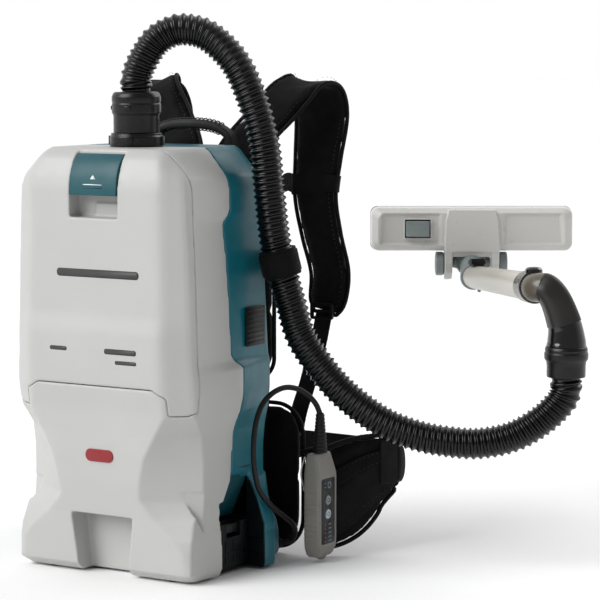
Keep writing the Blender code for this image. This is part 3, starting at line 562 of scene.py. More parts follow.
def loft(rings, closed=False):
    """Skin equal-length rings; cap both ends unless the rings close on themselves."""
    count = len(rings[0])
    verts = [p for ring in rings for p in ring]
    faces = []
    for i in range(len(rings) if closed else len(rings) - 1):
        a, b = i * count, ((i + 1) % len(rings)) * count
        for j in range(count):
            k = (j + 1) % count
            faces.append((a + j, a + k, b + k, b + j))
    if not closed:
        faces.append(tuple(reversed(range(count))))
        last = (len(rings) - 1) * count
        faces.append(tuple(last + j for j in range(count)))
    return verts, faces


def prism(outline, axis, low, high):
    """Extrude a 2-D outline along X, Y or Z; the other two axes take its points in order."""
    def place(point, depth):
        u, v = point
        return {"X": (depth, u, v), "Y": (u, depth, v), "Z": (u, v, depth)}[axis]
    return loft([[place(p, low) for p in outline], [place(p, high) for p in outline]])


def box(x, y, z):
    """Box from three ranges."""
    return prism(((x[0], y[0]), (x[1], y[0]), (x[1], y[1]), (x[0], y[1])), "Z", z[0], z[1])


def round_rect(half_u, half_v, radius, steps=4):
    """Rounded rectangle about the origin."""
    points = []
    corners = ((1, 1, 0), (-1, 1, 90), (-1, -1, 180), (1, -1, 270))
    for su, sv, start in corners:
        for i in range(steps + 1):
            angle = math.radians(start + 90.0 * i / steps)
            points.append((su * (half_u - radius) + radius * math.cos(angle),
                           sv * (half_v - radius) + radius * math.sin(angle)))
    return points


def turned(profile, centre, way=(0, 0, 1), segments=64, closed=True):
    """Turn a (radius, height) profile about an axis; open profiles are capped."""
    spin = Vector(way).to_track_quat("Z", "Y").to_matrix()
    centre = Vector(centre)
    rings = []
    for radius, height in profile:
        ring = []
        for s in range(segments):
            angle = 2 * math.pi * s / segments
            ring.append(centre + spin @ Vector((radius * math.cos(angle), radius * math.sin(angle),
                                                height)))
        rings.append(ring)
    return loft(rings, closed)


def eased(profile, radius=0.8):
    """Profile with each corner cut by a short arc."""
    out = []
    count = len(profile)
    for i in range(count):
        p = Vector(profile[i])
        a, b = Vector(profile[i - 1]), Vector(profile[(i + 1) % count])
        cut_a = min(radius, (a - p).length * 0.4)
        cut_b = min(radius, (b - p).length * 0.4)
        start, end = p + (a - p).normalized() * cut_a, p + (b - p).normalized() * cut_b
        for t in (0.0, 0.35, 0.65, 1.0):
            out.append(tuple(start * (1 - t) ** 2 + p * 2 * t * (1 - t) + end * t * t))
    return out


def spline_point(p0, p1, p2, p3, t):
    """Catmull-Rom point between p1 and p2."""
    return 0.5 * ((2 * p1) + (p2 - p0) * t + (2 * p0 - 5 * p1 + 4 * p2 - p3) * t * t
                  + (3 * p1 - p0 - 3 * p2 + p3) * t * t * t)


def smooth_path(route, spacing):
    """Even points on a smooth curve through the route; extra values ride along."""
    route = [Vector(p) for p in route]
    ends = [2 * route[0] - route[1]] + route + [2 * route[-1] - route[-2]]
    fine = [spline_point(*ends[i:i + 4], s / 24) for i in range(len(route) - 1) for s in range(24)]
    fine.append(route[-1])
    lengths = [0.0]
    for a, b in zip(fine, fine[1:]):
        lengths.append(lengths[-1] + (b.resized(3) - a.resized(3)).length)
    count = max(2, round(lengths[-1] / spacing))
    points = []
    j = 0
    for i in range(count + 1):
        goal = lengths[-1] * i / count
        while j < len(fine) - 2 and lengths[j + 1] < goal:
            j += 1
        points.append(fine[j].lerp(fine[j + 1], (goal - lengths[j]) / (lengths[j + 1] - lengths[j])))
    return points


def tangents(points):
    """Unit directions along a path."""
    return [(points[min(len(points) - 1, i + 1)] - points[max(0, i - 1)]).normalized()
            for i in range(len(points))]


def path_frames(points):
    """Twist-free side directions along a path."""
    ways = tangents(points)
    side = ways[0].orthogonal().normalized()
    out = []
    for way in ways:
        side = (side - way * side.dot(way)).normalized()
        out.append((side, way.cross(side)))
    return out


def path_length(points):
    """Length of a path."""
    return sum((b - a).length for a, b in zip(points, points[1:]))


def tube(points, radius, segments=24):
    """Solid round tube; radius is a number or a function of (index, angle)."""
    rings = []
    for i, (point, (u, v)) in enumerate(zip(points, path_frames(points))):
        ring = []
        for s in range(segments):
            a = 2 * math.pi * s / segments
            r = radius(i, a) if callable(radius) else radius
            ring.append(point + (u * math.cos(a) + v * math.sin(a)) * r)
        rings.append(ring)
    return loft(rings)


def pipe(points, outer, inner, segments=48, power=2.0):
    """Open-ended pipe with changing radii; a power over 2 squares its outside."""
    frames = path_frames(points)
    rings = []
    for radii, order, square in ((outer, range(len(points)), power),
                                 (inner, reversed(range(len(points))), 2.0)):
        for i in order:
            u, v = frames[i]
            ring = []
            for s in range(segments):
                a = 2 * math.pi * s / segments
                swell = (abs(math.cos(a)) ** square + abs(math.sin(a)) ** square) ** (-1 / square)
                ring.append(points[i] + (u * math.cos(a) + v * math.sin(a)) * radii[i] * swell)
            rings.append(ring)
    return loft(rings, True)


def mirrored(route):
    """The same centre line on the other side of the unit."""
    return [(-p[0], *p[1:]) for p in route]


def strap_lines(route, spacing, across):
    """Centre, side, normal and width at even steps along a strap."""
    points = smooth_path(route, spacing)
    centres = [p.resized(3) for p in points]
    out = []
    for point, centre, way in zip(points, centres, tangents(centres)):
        side = (Vector(across) - way * Vector(across).dot(way)).normalized()
        out.append((centre, side, way.cross(side), point[3]))
    return out


def strap(name, route, thick, across=(1, 0, 0), spacing=3.0, steps=3, lift=None):
    """Swept strap that carries its own weave directions."""
    lines = strap_lines(route, spacing, across)
    rings = []
    places = []
    for i, (centre, side, normal, width) in enumerate(lines):
        section = round_rect(width / 2, thick / 2, thick * 0.45, steps)
        ring = []
        for u, v in section:
            rise = lift(i * spacing, u) if lift else 0.0
            ring.append(centre + side * u + normal * (v + rise))
            places.append((u * MM, i * spacing * MM, v * MM))
        rings.append(ring)
    verts, faces = loft(rings)
    mesh = bpy.data.meshes.new(name)
    mesh.from_pydata([world(v) for v in verts], [], faces)
    attribute = mesh.attributes.new("strap_uv", "FLOAT_VECTOR", "POINT")
    for i, place in enumerate(places):
        attribute.data[i].vector = place
    obj = bpy.data.objects.new(name, mesh)
    bpy.context.scene.collection.objects.link(obj)
    return obj


def joined(name, parts):
    """One mesh object from several; they may overlap."""
    bm = bmesh.new()
    for part in parts:
        bm.from_mesh(part.data)
        bpy.data.objects.remove(part)
    mesh = bpy.data.meshes.new(name)
    bm.to_mesh(mesh)
    bm.free()
    obj = bpy.data.objects.new(name, mesh)
    bpy.context.scene.collection.objects.link(obj)
    return obj


def stitches(name, points, normals, length=2.6, gap=1.4, wide=0.45):
    """A row of raised stitches along a line of millimetre points."""
    verts = []
    faces = []
    run = 0.0
    for a, b, normal in zip(points, points[1:], normals):
        run += (b - a).length
        if run < length + gap:
            continue
        run = 0.0
        way = (b - a).normalized()
        side = way.cross(normal).normalized() * wide
        top = normal * 0.35
        base = len(verts)
        for step, rise in ((-length / 2, -0.3), (0, 1.0), (length / 2, -0.3)):
            centre = a + way * step
            for offset, factor in ((-side, 0.0), (Vector((0, 0, 0)), 1.0), (side, 0.0)):
                verts.append(centre + offset + top * (rise if factor else -0.6))
        for i in (0, 1):
            r, s = base + i * 3, base + (i + 1) * 3
            faces.extend(((r, r + 1, s + 1, s), (r + 1, r + 2, s + 2, s + 1), (r + 2, r, s, s + 2)))
        faces.extend(((base, base + 2, base + 1), (base + 6, base + 7, base + 8)))
    return bare(name, verts, faces)


def unit_box(node):
    """Ranges of a CAD node in unit-frame millimetres."""
    low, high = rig.box(node)
    return ((low.x / MM, high.x / MM), (low.y / MM - SHIFT_Y, high.y / MM - SHIFT_Y),
            (low.z / MM, high.z / MM))


# ---------------------------------------------------------------- shells

def slopes(column):
    """Monotone cubic slopes of one section column against height."""
    heights = [row[0] for row in SECTIONS]
    values = [row[column] for row in SECTIONS]
    steps = [(b - a) / (q - p) for a, b, p, q in zip(values, values[1:], heights, heights[1:])]
    out = [steps[0]]
    for a, b in zip(steps, steps[1:]):
        out.append(2 * a * b / (a + b) if a * b > 0 else 0.0)
    out.append(steps[-1])
    return out


SLOPES = {column: slopes(column) for column in range(1, 10)}
FACET_Z = 206.0              # flat facets below, curved skin above


def row_at(z):
    """Section row at any height."""
    for i, (a, b) in enumerate(zip(SECTIONS, SECTIONS[1:])):
        if a[0] <= z <= b[0]:
            break
    span = b[0] - a[0]
    t = (z - a[0]) / span
    if z < FACET_Z:
        return (z, *(p + (q - p) * t for p, q in zip(a[1:], b[1:])))
    out = [z]
    for column in range(1, 10):
        m0, m1 = SLOPES[column][i] * span, SLOPES[column][i + 1] * span
        out.append((2 * t ** 3 - 3 * t * t + 1) * a[column] + (t ** 3 - 2 * t * t + t) * m0
                   + (3 * t * t - 2 * t ** 3) * b[column] + (t ** 3 - t * t) * m1)
    return tuple(out)


def moved_in(points, inset):
    """Anticlockwise 2-D outline moved in by a distance, or out by a negative one."""
    points = [Vector(p) for p in points]
    moved = []
    for i, p in enumerate(points):
        a, b = points[i - 1], points[(i + 1) % len(points)]
        n1 = Vector((-(p - a).y, (p - a).x)).normalized()
        n2 = Vector((-(b - p).y, (b - p).x)).normalized()
        way = (n1 + n2).normalized()
        moved.append(p + way * inset / max(0.5, way.dot(n1)))
    return moved


def section_ring(z, inset):
    """Closed outline of the skin at one height, with corners that are tighter on the flat facets."""
    radius = 2.5 + 6.5 * min(1.0, max(0.0, (z - FACET_Z) / 30))
    row = row_at(z)
    _, front, half, cx, cy, side, rx, ry, bx, by = row
    right = [(half, front), (cx, cy), (side, SIDE_Y), (rx, ry), (bx, by)]
    points = [Vector(p) for p in right] + [Vector((-x, y)) for x, y in reversed(right)]
    outline = eased([tuple(p) for p in moved_in(points, inset)], radius)
    return [(x, y, z) for x, y in outline]


def skin(inset, low, high, step=3.5):
    """Solid of the outer skin, moved in, between two heights."""
    levels = sorted({low, high, *(row[0] for row in SECTIONS if low < row[0] < high)})
    heights = []
    for a, b in zip(levels, levels[1:]):
        count = max(1, round((b - a) / step))
        heights.extend(a + (b - a) * i / count for i in range(count))
    heights.append(high)
    return bare("skin", *loft([section_ring(z, inset) for z in heights]))


def pocket(grow):
    """Finger pocket behind the latch."""
    half = 36.5 + grow
    return box((-half, half), (-160, -108 + grow), (446 - grow, 540))


def notch(grow):
    """Notch between the two front feet, deeper towards the floor."""
    outline = ((-36 - grow, -5), (36 + grow, -5), (46.5 + grow, 77 + grow), (-46.5 - grow, 77 + grow))
    return prism(outline, "Y", -160, -86 + grow)


def scoop(side, grow):
    """Three-sided scoop low on the side of the front leg."""
    out = Vector((0.8 * side, -0.6, 0))
    inner = [Vector((103 * side, -97, 113 + grow)), Vector((130.3 * side, -80, 113 + grow)),
             Vector((136 * side, -84, 50 - grow))]
    centre = sum(inner, Vector()) / 3
    inner = [p - out * grow + (p - centre).normalized() * 2.5 * grow for p in inner]
    return loft([inner, [p + out * 60 for p in inner]])


def hollow_body():
    """The whole moulded skin as one hollow shell, before it is split."""
    outer = skin(0.0, SECTIONS[0][0], TOP_Z)
    inner = skin(WALL, SECTIONS[0][0] + WALL, TOP_Z - WALL, 12.0)
    for maker in (pocket, notch):
        cut(outer, maker(0.0))
        cut(inner, maker(WALL))
    for side in (-1, 1):
        cut(outer, scoop(side, 0.0))
        cut(inner, scoop(side, WALL))
    carve(outer, inner)
    _, y, z = unit_box("battery_bay")
    cut(outer, box((-200, 200), (y[0] - 0.4, y[1] + 0.4), (z[0] - 0.4, z[1] + 0.4)))
    cut(outer, turned(((25, 500), (25, 560)), (*PORT, 0), closed=False))
    return outer


def front_half(shift):
    """Everything in front of the parting line, moved by the shift."""
    outline = [(y + shift, z) for y, z in PARTING] + [(-200, -5), (-200, 545)]
    return prism(outline, "X", -200, 200)


def cover_region(grow):
    """Prism that holds the dust cover."""
    outline = list(COVER_OUTLINE) + [(-x, z) for x, z in reversed(COVER_OUTLINE) if x > 0]
    return prism(moved_in(outline, -grow), "Y", -200, SEAM_Y + grow)


def twin(obj, name):
    """Independent copy of an object."""
    made = obj.copy()
    made.data = obj.data.copy()
    made.name = name
    bpy.context.scene.collection.objects.link(made)
    return made


FIN_Y = 22.0
# Height, half width at the front, middle and back of the rear leg
FIN_ROWS = ((3.3, 150, 150, 131), (10, 152, 152, 131), (58, 151, 151, 131), (88, 141, 140.5, 129),
            (118, 127, 125.6, 124.6))
CEILING = ((131.8, 133), (100, 66))     # slope from the side skin into the battery opening (x, z)


def fin(side):
    """Flared rear leg behind the battery opening."""
    rings = []
    for z, front, middle, back in FIN_ROWS:
        plan = ((124.2, FIN_Y), (front, FIN_Y + 1), (middle, 44), (back, 64), (124.2, 64))
        rings.append([(side * u, v, z) for u, v in plan][::side])
    return loft(rings)


SHELL_VOXEL = 2.3 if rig.quick() else 1.6


def shells():
    """White front housing, dust cover and teal rear housing from one skin."""
    body = hollow_body()
    front = cut(twin(body, "front_shell"), front_half(-0.1), "INTERSECT")
    rear = cut(body, front_half(0.1))
    rear.name = "rear_shell"
    cover = cut(twin(front, "cover_shell"), cover_region(-0.1), "INTERSECT")
    cut(front, cover_region(0.1))
    for side in (-1, 1):
        cut(rear, box((side * 90 - 9, side * 90 + 9), (66, 82), (0, 5.2)), "UNION")
    for side in (-1, 1):
        slope = [(side * u, v) for u, v in (*CEILING, (100, -5), (200, -5), (200, 133))]
        cut(rear, prism(slope, "Y", -60, FIN_Y))
        cut(rear, fin(side), "UNION")
        cut(rear, box(sorted((side * 149.8, side * 160)), (0, 60), (45, 51.5)))
    for side in (-1, 1):
        cut(rear, box(sorted((side * 139.4, side * 160)), (-6, 60), (254.8, 256.2)))
    ledge = prism(((-112, 446), (-107, 446), (-107, 463), (-110.5, 463)), "X", -10, 36)
    cut(cover, ledge, "UNION")
    for obj, rounds in ((front, 3), (rear, 2), (cover, 3)):
        soften(obj, SHELL_VOXEL, rounds)
    show(front, "shell", "root", "front_housing")
    show(rear, "teal", "root", "rear_housing")
    show(cover, "shell", "cover", "front_cover")


def latch():
    """Teal latch plate that wraps over the top edge of the cover, with plain marks."""
    face = ((-131.8, 473.5), (-130.9, 484), (-129.6, 495), (-126.6, 505), (-121, 515),
            (-114.5, 521.5), (-110.8, 524.2), (-110.4, 519), (-112.6, 516.5), (-117.5, 511),
            (-122, 501.5), (-125.2, 490), (-127.4, 473.5))
    piece("latch_plate", prism(face, "X", -35.7, 35.7),
          "latch", "latch", "cover_latch", 40, edge=(1.3, 4, 40))
    piece("latch_arrow", prism(((-4, 493.2), (4, 493.2), (0, 498.2)), "Y", -129.95, -128.4),
          "mark", "latch")
    for i, (z, half, depth) in enumerate(((486.6, 14, -131.0), (482.6, 14, -131.3))):
        piece(f"latch_line_{i}", box((-half, half), (depth - 0.15, depth + 1.2),
                                     (z - 0.55, z + 0.55)), "mark" if i == 0 else "latch", "latch")


# Printed bars: middle x, z, half width, half height
PRINTS = ((6, 378, 62, 5), (-52, 284, 13, 2.6), (42, 284, 24, 3.4), (50, 271, 16, 2.4))


def badge():
    """Plain red plate low on the front, and plain grey bars printed on the dust cover."""
    outline = [(x + 4, z + 153) for x, z in round_rect(21, 7.8, 7.6, 8)]
    piece("badge", prism(outline, "Y", -127.1, -124.5), "red", edge=(0.5, 3, 40))
    for i, (x, z, half, tall) in enumerate(PRINTS):
        outline = [(x + u, z + v) for u, v in round_rect(half, tall, tall * 0.9, 6)]
        front = row_at(z)[1]
        piece(f"print_bar_{i}", prism(outline, "Y", front - 0.12, front + 1.5), "print", "cover")


def vent():
    """Louvre plate on the side of the rear housing."""
    _, (y0, y1), (z0, z1) = unit_box("side_vent")
    outer = ((131.7, y0), (133.3, y0), (132.0, y1), (130.4, y1))
    plate = bare("vent_plate", *prism(outer, "Z", z0, z1))
    bevel(plate, 0.5, 2, 40)
    parts = [plate]
    for i in range(8):
        z = z0 + 4 + i * (z1 - z0 - 8) / 7
        slat = ((132.6, y0 + 3), (134.3, y0 + 3), (133.0, y1 - 3), (131.3, y1 - 3))
        parts.append(bevel(bare("slat", *prism(slat, "Z", z - 1.5, z + 1.5)), 0.6, 2, 40))
    show(joined("vent_louvres", parts), "satin", "root", "side_vent", 40)


def feet():
    """Rubber feet under the front legs."""
    for side, word in ((-1, "left"), (1, "right")):
        profile = ((0.01, 0), (5.9, 0), (6.9, 0.7), (7.2, 1.6), (7.2, 2.7), (0.01, 2.7))
        piece("rubber_foot_" + word, turned(profile, (side * 90.5, -92, 0), closed=False),
              "rubber", "root", "foot_" + word, 40)


# ---------------------------------------------------------------- bay, batteries, insides

def bay():
    """Sleeve of the battery bay with guide rails."""
    x, y, z = unit_box("battery_bay")
    shell = bare("bay_sleeve", *box(x, y, (3.4, z[1])))
    cut(shell, box((-200, 200), (y[0] + 2.2, 19), (z[0] + 2.2, z[1] - 2.2)))
    for side in (-1, 1):
        above = [(side * u, v) for u, v in ((99, 66.5), (200, 66.5), (200, 96), (112, 96))]
        cut(shell, prism(above, "Y", -80, 100))
    bevel(shell, 0.7, 2, 40)
    show(shell, "bay", "root", "battery_bay", 40)
    for side, word in ((-1, "left"), (1, "right")):
        # dark-teal ceiling wedge: its darker teal is painted shade
        wedge = [(side * u, v) for u, v in ((129.8, 132.4), (125, 132.4), (94, 92), (94, 66), (100, 66))]
        show(bevel(bare("bay_ceiling_" + word, *prism(wedge, "Y", y[0] + 0.4, FIN_Y + 0.4)), 0.4, 2),
             "shade", "root", (), 40)
        web = ((-24.4, 132), (-27.4, 132), (-27.4, 119.5), (-46, 92.8), (-42.6, 92.8), (-24.4, 119.5))
        piece("leg_web_" + word, prism(web, "X", *sorted((side * 98, side * 128))), "shell",
              "root", (), 40)
        # near-black sheet with ribs over the rear leg's front face: painted shade where that face lies in shadow
        edge = [(side * u, v) for u, v in ((124.2, 3.4), (149, 3.4), (150.5, 10), (149.4, 58), (139, 88),
                                           (129, 112), (124.2, 112))]
        parts = [bare("wall", *prism(edge, "Y", 20.4, FIN_Y + 0.4))]
        for level in (20, 38):
            parts.append(bare("rib", *box(sorted((side * 124.2, side * 149)), (19.2, 20.6),
                                          (level - 0.8, level + 0.8))))
        show(joined("bay_wall_" + word, parts), "bay", "root", (), 40)


def batteries():
    """Battery packs with a ribbed outer face, latch button and seam."""
    for word, side in (("right", 1), ("left", -1)):
        x, y, z = unit_box("battery_" + word)
        outer = x[1] if side > 0 else x[0]
        pack = bare("pack_" + word, *box(x, y, z))
        reach = sorted((outer - side * 18, outer + side * 20))
        button_x, button_y, button_z = unit_box("battery_button_" + word)
        cut(pack, box(reach, (button_y[0] - 0.6, button_y[1] + 0.6), (button_z[0] - 4, z[1] + 9)))
        seam = sorted((outer - side * 26, outer - side * 27.2))
        ring = bare("tool", *box(seam, (y[0] - 5, y[1] + 5), (z[0] - 5, z[1] + 5)))
        cut(ring, box((seam[0] - 1, seam[1] + 1), (y[0] + 0.8, y[1] - 0.8),
                      (z[0] + 0.8, z[1] - 0.8)))
        carve(pack, ring)
        bevel(pack, 2.0, 3, 50)
        parts = [pack]
        for share in (0.3, 0.62):
            level = z[0] + (z[1] - z[0]) * share
            if level < button_z[0] - 8:
                parts.append(bevel(bare("rib", *box(sorted((outer - side, outer + side * 1.0)),
                                                    (y[0] + 5, y[1] - 5), (level - 1.4, level + 1.4))),
                                   0.6, 2, 40))
        for share in (0.22, 0.5, 0.78):
            place = y[0] + (y[1] - y[0]) * share
            top = button_z[0] - 7 if button_y[0] - 3 < place < button_y[1] + 3 else z[1] - 5
            parts.append(bevel(bare("rib", *box(sorted((outer - side, outer + side * 1.0)),
                                                (place - 1.4, place + 1.4), (z[0] + 5, top))), 0.6, 2, 40))
        show(joined("pack_shell_" + word, parts), "bay", "pack_" + word, "battery_" + word, 40)
        piece("pack_button_" + word, box(button_x, button_y, button_z),
              "satin", "release_" + word, "battery_button_" + word, 40, edge=(1.6, 3, 50))


def insides():
    """Filter, bag, motor and board, seen with the dust cover open."""
    x, y, z = unit_box("main_filter")
    pleats = 40
    outline = []
    for i in range(pleats + 1):
        u = x[0] + 2 + (x[1] - x[0] - 4) * i / pleats
        outline.append((u, z[1] - (0.5 if i % 2 else 5.0)))
    outline += [(x[1] - 2, z[0] + 1), (x[0] + 2, z[0] + 1)]
    piece("filter_pleats", prism(list(reversed(outline)), "Y", y[0] + 5, y[1] - 5),
          "filter", "root", "main_filter", 20)
    rings = [[(u * k, v * k - 8, level) for u, v in round_rect(80, 52, 14, 6)]
             for level, k in ((z[0], 0.99), (z[0] + 1, 1.0), (z[1] - 1, 1.0), (z[1], 0.99))]
    rim = bare("filter_frame", *loft(rings))
    cut(rim, box((-75, 75), (-55, 39), (z[0] - 5, z[1] + 5)))
    show(rim, "satin", "root", (), 40)
    bag = bare("bag_blank", *loft([
        [(u * k, v * k - 12, level) for u, v in round_rect(92, 66, 34, 6)]
        for level, k in ((280, 0.7), (292, 0.92), (370, 0.97), (455, 0.92), (472, 0.68), (482, 0.3))]))
    show(puffed(bag, "dust_bag_cloth", 6.0, 5.0, 0.0), "bag", "root", "dust_bag")
    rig.padded(bpy.data.objects["dust_bag_cloth"], fill=0.7)
    card = bevel(bare("bag_card", *box((-42, 42), (PORT[1] - 30, PORT[1] + 36), (484.5, 487.6))), 0.8, 2)
    cut(card, turned(((19, 470), (19, 500)), (*PORT, 0), closed=False))
    show(card, "filter", "root")
    for node, finish in (("motor_can", "steel"), ("motor_shaft", "steel"), ("bulkhead", "grey"),
                         ("inlet_tube", "satin"), ("control_board", "board")):
        restyle(node, finish)
    restyle("impeller", "alloy")


def restyle(node, finish):
    """Give a CAD node that stays in view its finished material."""
    obj = frame["nodes"][node]
    obj.data.materials.clear()
    obj.data.materials.append(MAT[finish])
    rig.slot(obj, SLOTS.get(finish, finish))


# ---------------------------------------------------------------- intake and hose

def lugs(extent, radius, angles, rounding):
    """Small blocks set round the port at one radius."""
    blocks = []
    for angle in angles:
        a = math.radians(angle)
        lug = bevel(bare("lug", *box(*extent)), rounding, 2)
        lug.data.transform(Matrix.Translation(world((PORT[0] + radius * math.cos(a),
                                                     PORT[1] + radius * math.sin(a), 0)))
                           @ Matrix.Rotation(a + math.pi / 2, 4, "Z")
                           @ Matrix.Translation(-world((0, 0, 0))))
        blocks.append(lug)
    return blocks


def intake():
    """Twist-lock collar with lugs, and the swivel cuff on it."""
    z = TOP_Z + 0.4
    rim = eased(((24.2, z), (33, z), (33.3, z + 2.5), (33.3, z + 12), (31.8, z + 14), (31.6, z + 16.5),
                 (24.2, z + 16.5)), 0.9)
    collar = bare("collar_ring", *turned(rim, (*PORT, 0), segments=96))
    parts = [collar]
    parts += lugs(((-5, 5), (-1.6, 1.6), (z + 1.5, z + 13)), 33.4, (20, 110, 200, 290), 0.8)
    show(joined("intake_collar_ring", parts), "black", "collar", "intake_collar", 35)
    low, high = z + 17, 597.7
    outer = ((24.4, low), (28.4, low), (28.6, low + 1), (28.6, low + 21), (30.2, low + 24),
             (30.6, low + 25), (30.6, high - 15), (30.0, high - 14), (30.0, high - 12.5),
             (30.6, high - 11.5), (30.6, high - 6), (29, high - 2), (27, high), (21.2, high),
             (21.2, high - 8), (24.4, high - 12))
    cuff = bare("cuff_barrel", *turned(eased(outer, 0.7), (*PORT, 0), segments=96))
    parts = [cuff]
    parts += lugs(((-4, 4), (-1.2, 1.2), (high - 22, high - 17)), 30.4, (-150, -75, 45, 140), 0.6)
    show(joined("hose_cuff_barrel", parts), "black", "root", "hose_cuff", 35)


def hose():
    """Corrugated hose: a one-start helical rib on a smooth tube."""
    pitch = 8.0
    step = 0.8 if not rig.quick() else 1.6
    points = smooth_path(HOSE_ROUTE, step)
    real_step = path_length(points) / (len(points) - 1)

    def radius(i, angle):
        turn = i * real_step / pitch - angle / (2 * math.pi)
        crest = 0.5 + 0.5 * math.cos(2 * math.pi * turn)
        ends = min(1.0, i / 6, (len(points) - 1 - i) / 6)
        return 17.3 + 2.9 * crest ** 1.35 * ends

    obj = bare("hose_tube", *tube(points, radius, 56))
    show(obj, "hose", "root", "hose")
    route = [world(p) for p in smooth_path(HOSE_ROUTE, 8.0)]
    return obj, route


def holder():
    """Hook-and-loop band that carries the hose beside the harness plate."""
    centre = Vector((161.5, 41, 386))
    way = Vector((7, 6, -39)).normalized()
    band = eased(((20.9, -17), (23.6, -17), (23.6, 17), (20.9, 17)), 0.9)
    ring = bare("band_ring", *turned(band, centre, way))
    flap = bare("band_flap", *turned(eased(((23.6, -13), (24.9, -13), (24.9, 13), (23.6, 13)), 0.5),
                                     centre, way))
    route = ((151, 61.5, 385, 30), (135, 76, 384, 30), (118, 85.5, 384, 30), (104, 88, 384, 30))
    tab = strap("band_tab", route, 2.2, (0, 0, 1))
    show(joined("hose_band", [ring, flap]), "fabric", "root", "hose_holder", 40)
    show(tab, "web", "root")


def end_cuff():
    """Black swivel cuff at the tool end of the hose."""
    x, y, z = HOSE_END
    low = z + 0.4
    profile = ((20.6, low + 2), (20.6, low), (23.6, low), (24.2, low + 1), (24.2, low + 14),
               (24.8, low + 19), (27.2, low + 23), (27.4, low + 25), (27.4, low + 30),
               (26.4, low + 31), (26.4, low + 33), (26.8, low + 34), (25.6, low + 38), (20.6, low + 38))
    ring = bare("end_cuff_ring", *turned(eased(profile, 0.8), (x, y, 0), segments=96))
    return show(ring, "black", "root", "end_cuff", 35)


def grip():
    """Bent hand piece: glossy lower cone, squared satin bend and a clear socket for the wand."""
    x, y, z = HOSE_END
    route = [Vector(p) for p in ((x, y, z + 38.8), (x, y, z + 46), (474.5, 206, 308), (470, 203, 326),
                                 (464, 199, 343), (456, 196, 354.5), (446, 196.5, 357))]
    route += [WAND_START - WAY * 20, WAND_START - WAY * 10, WAND_START]
    points = smooth_path(route, 1.5)
    count = len(points) - 1
    outer = []
    for i in range(count + 1):
        run = i / count
        radius = 24.6 - 2.2 * min(1.0, run * 5) - 5.4 * min(1.0, 1.3 * run)
        if run < 0.24:
            radius += 0.5
        elif run > 0.88:
            radius = 16.7
        outer.append(radius)
    for _ in range(3):
        middle = [(a + b * 2 + c) / 4 for a, b, c in zip(outer, outer[1:], outer[2:])]
        outer = [outer[0], *middle, outer[-1]]
    inner = [max(10.0, r - 3.0) for r in outer]
    split = int(count * 0.25)
    turn = int(count * 0.72)
    cone = bare("grip_cone", *pipe(points[:split + 1], outer[:split + 1], inner[:split + 1], 64))
    bend = bare("grip_bend", *pipe(points[split:turn], [r - 0.3 for r in outer[split:turn]],
                                   inner[split:turn], 64, 3.0))
    socket = bare("grip_socket", *pipe(points[turn - 2:], [min(r + 1.2, 18.6) for r in outer[turn - 2:]],
                                       [max(10.0, r - 3.0) for r in outer[turn - 2:]], 64))
    show(cone, "smoke", "hand", "elbow", 35)
    show(bend, "grip", "hand", (), 35)
    show(socket, "ferrule", "hand", (), 35)
    profile = ((16.9, -15), (20.6, -15), (20.6, -9), (20.1, -8.4), (20.1, -7.6), (20.6, -7),
               (20.6, -1), (16.9, -1))
    ring = bare("bleed_ring_shell", *turned(eased(profile, 0.8), WAND_START, WAY, 96))
    up = Vector((0, 0, 1)) - WAY * WAY.z
    knob_at = WAND_START - WAY * 8 + up.normalized() * 19.6
    knob = bare("bleed_knob", *turned(((0.01, -1), (11, -1), (10.8, 2.4), (8.8, 4.8), (6, 5.6), (0.01, 6)),
                                      knob_at, up, 48, False))
    show(joined("bleed_slider", [ring, knob]), "smoke", "bleed", "bleed_ring", 35)
    return cone


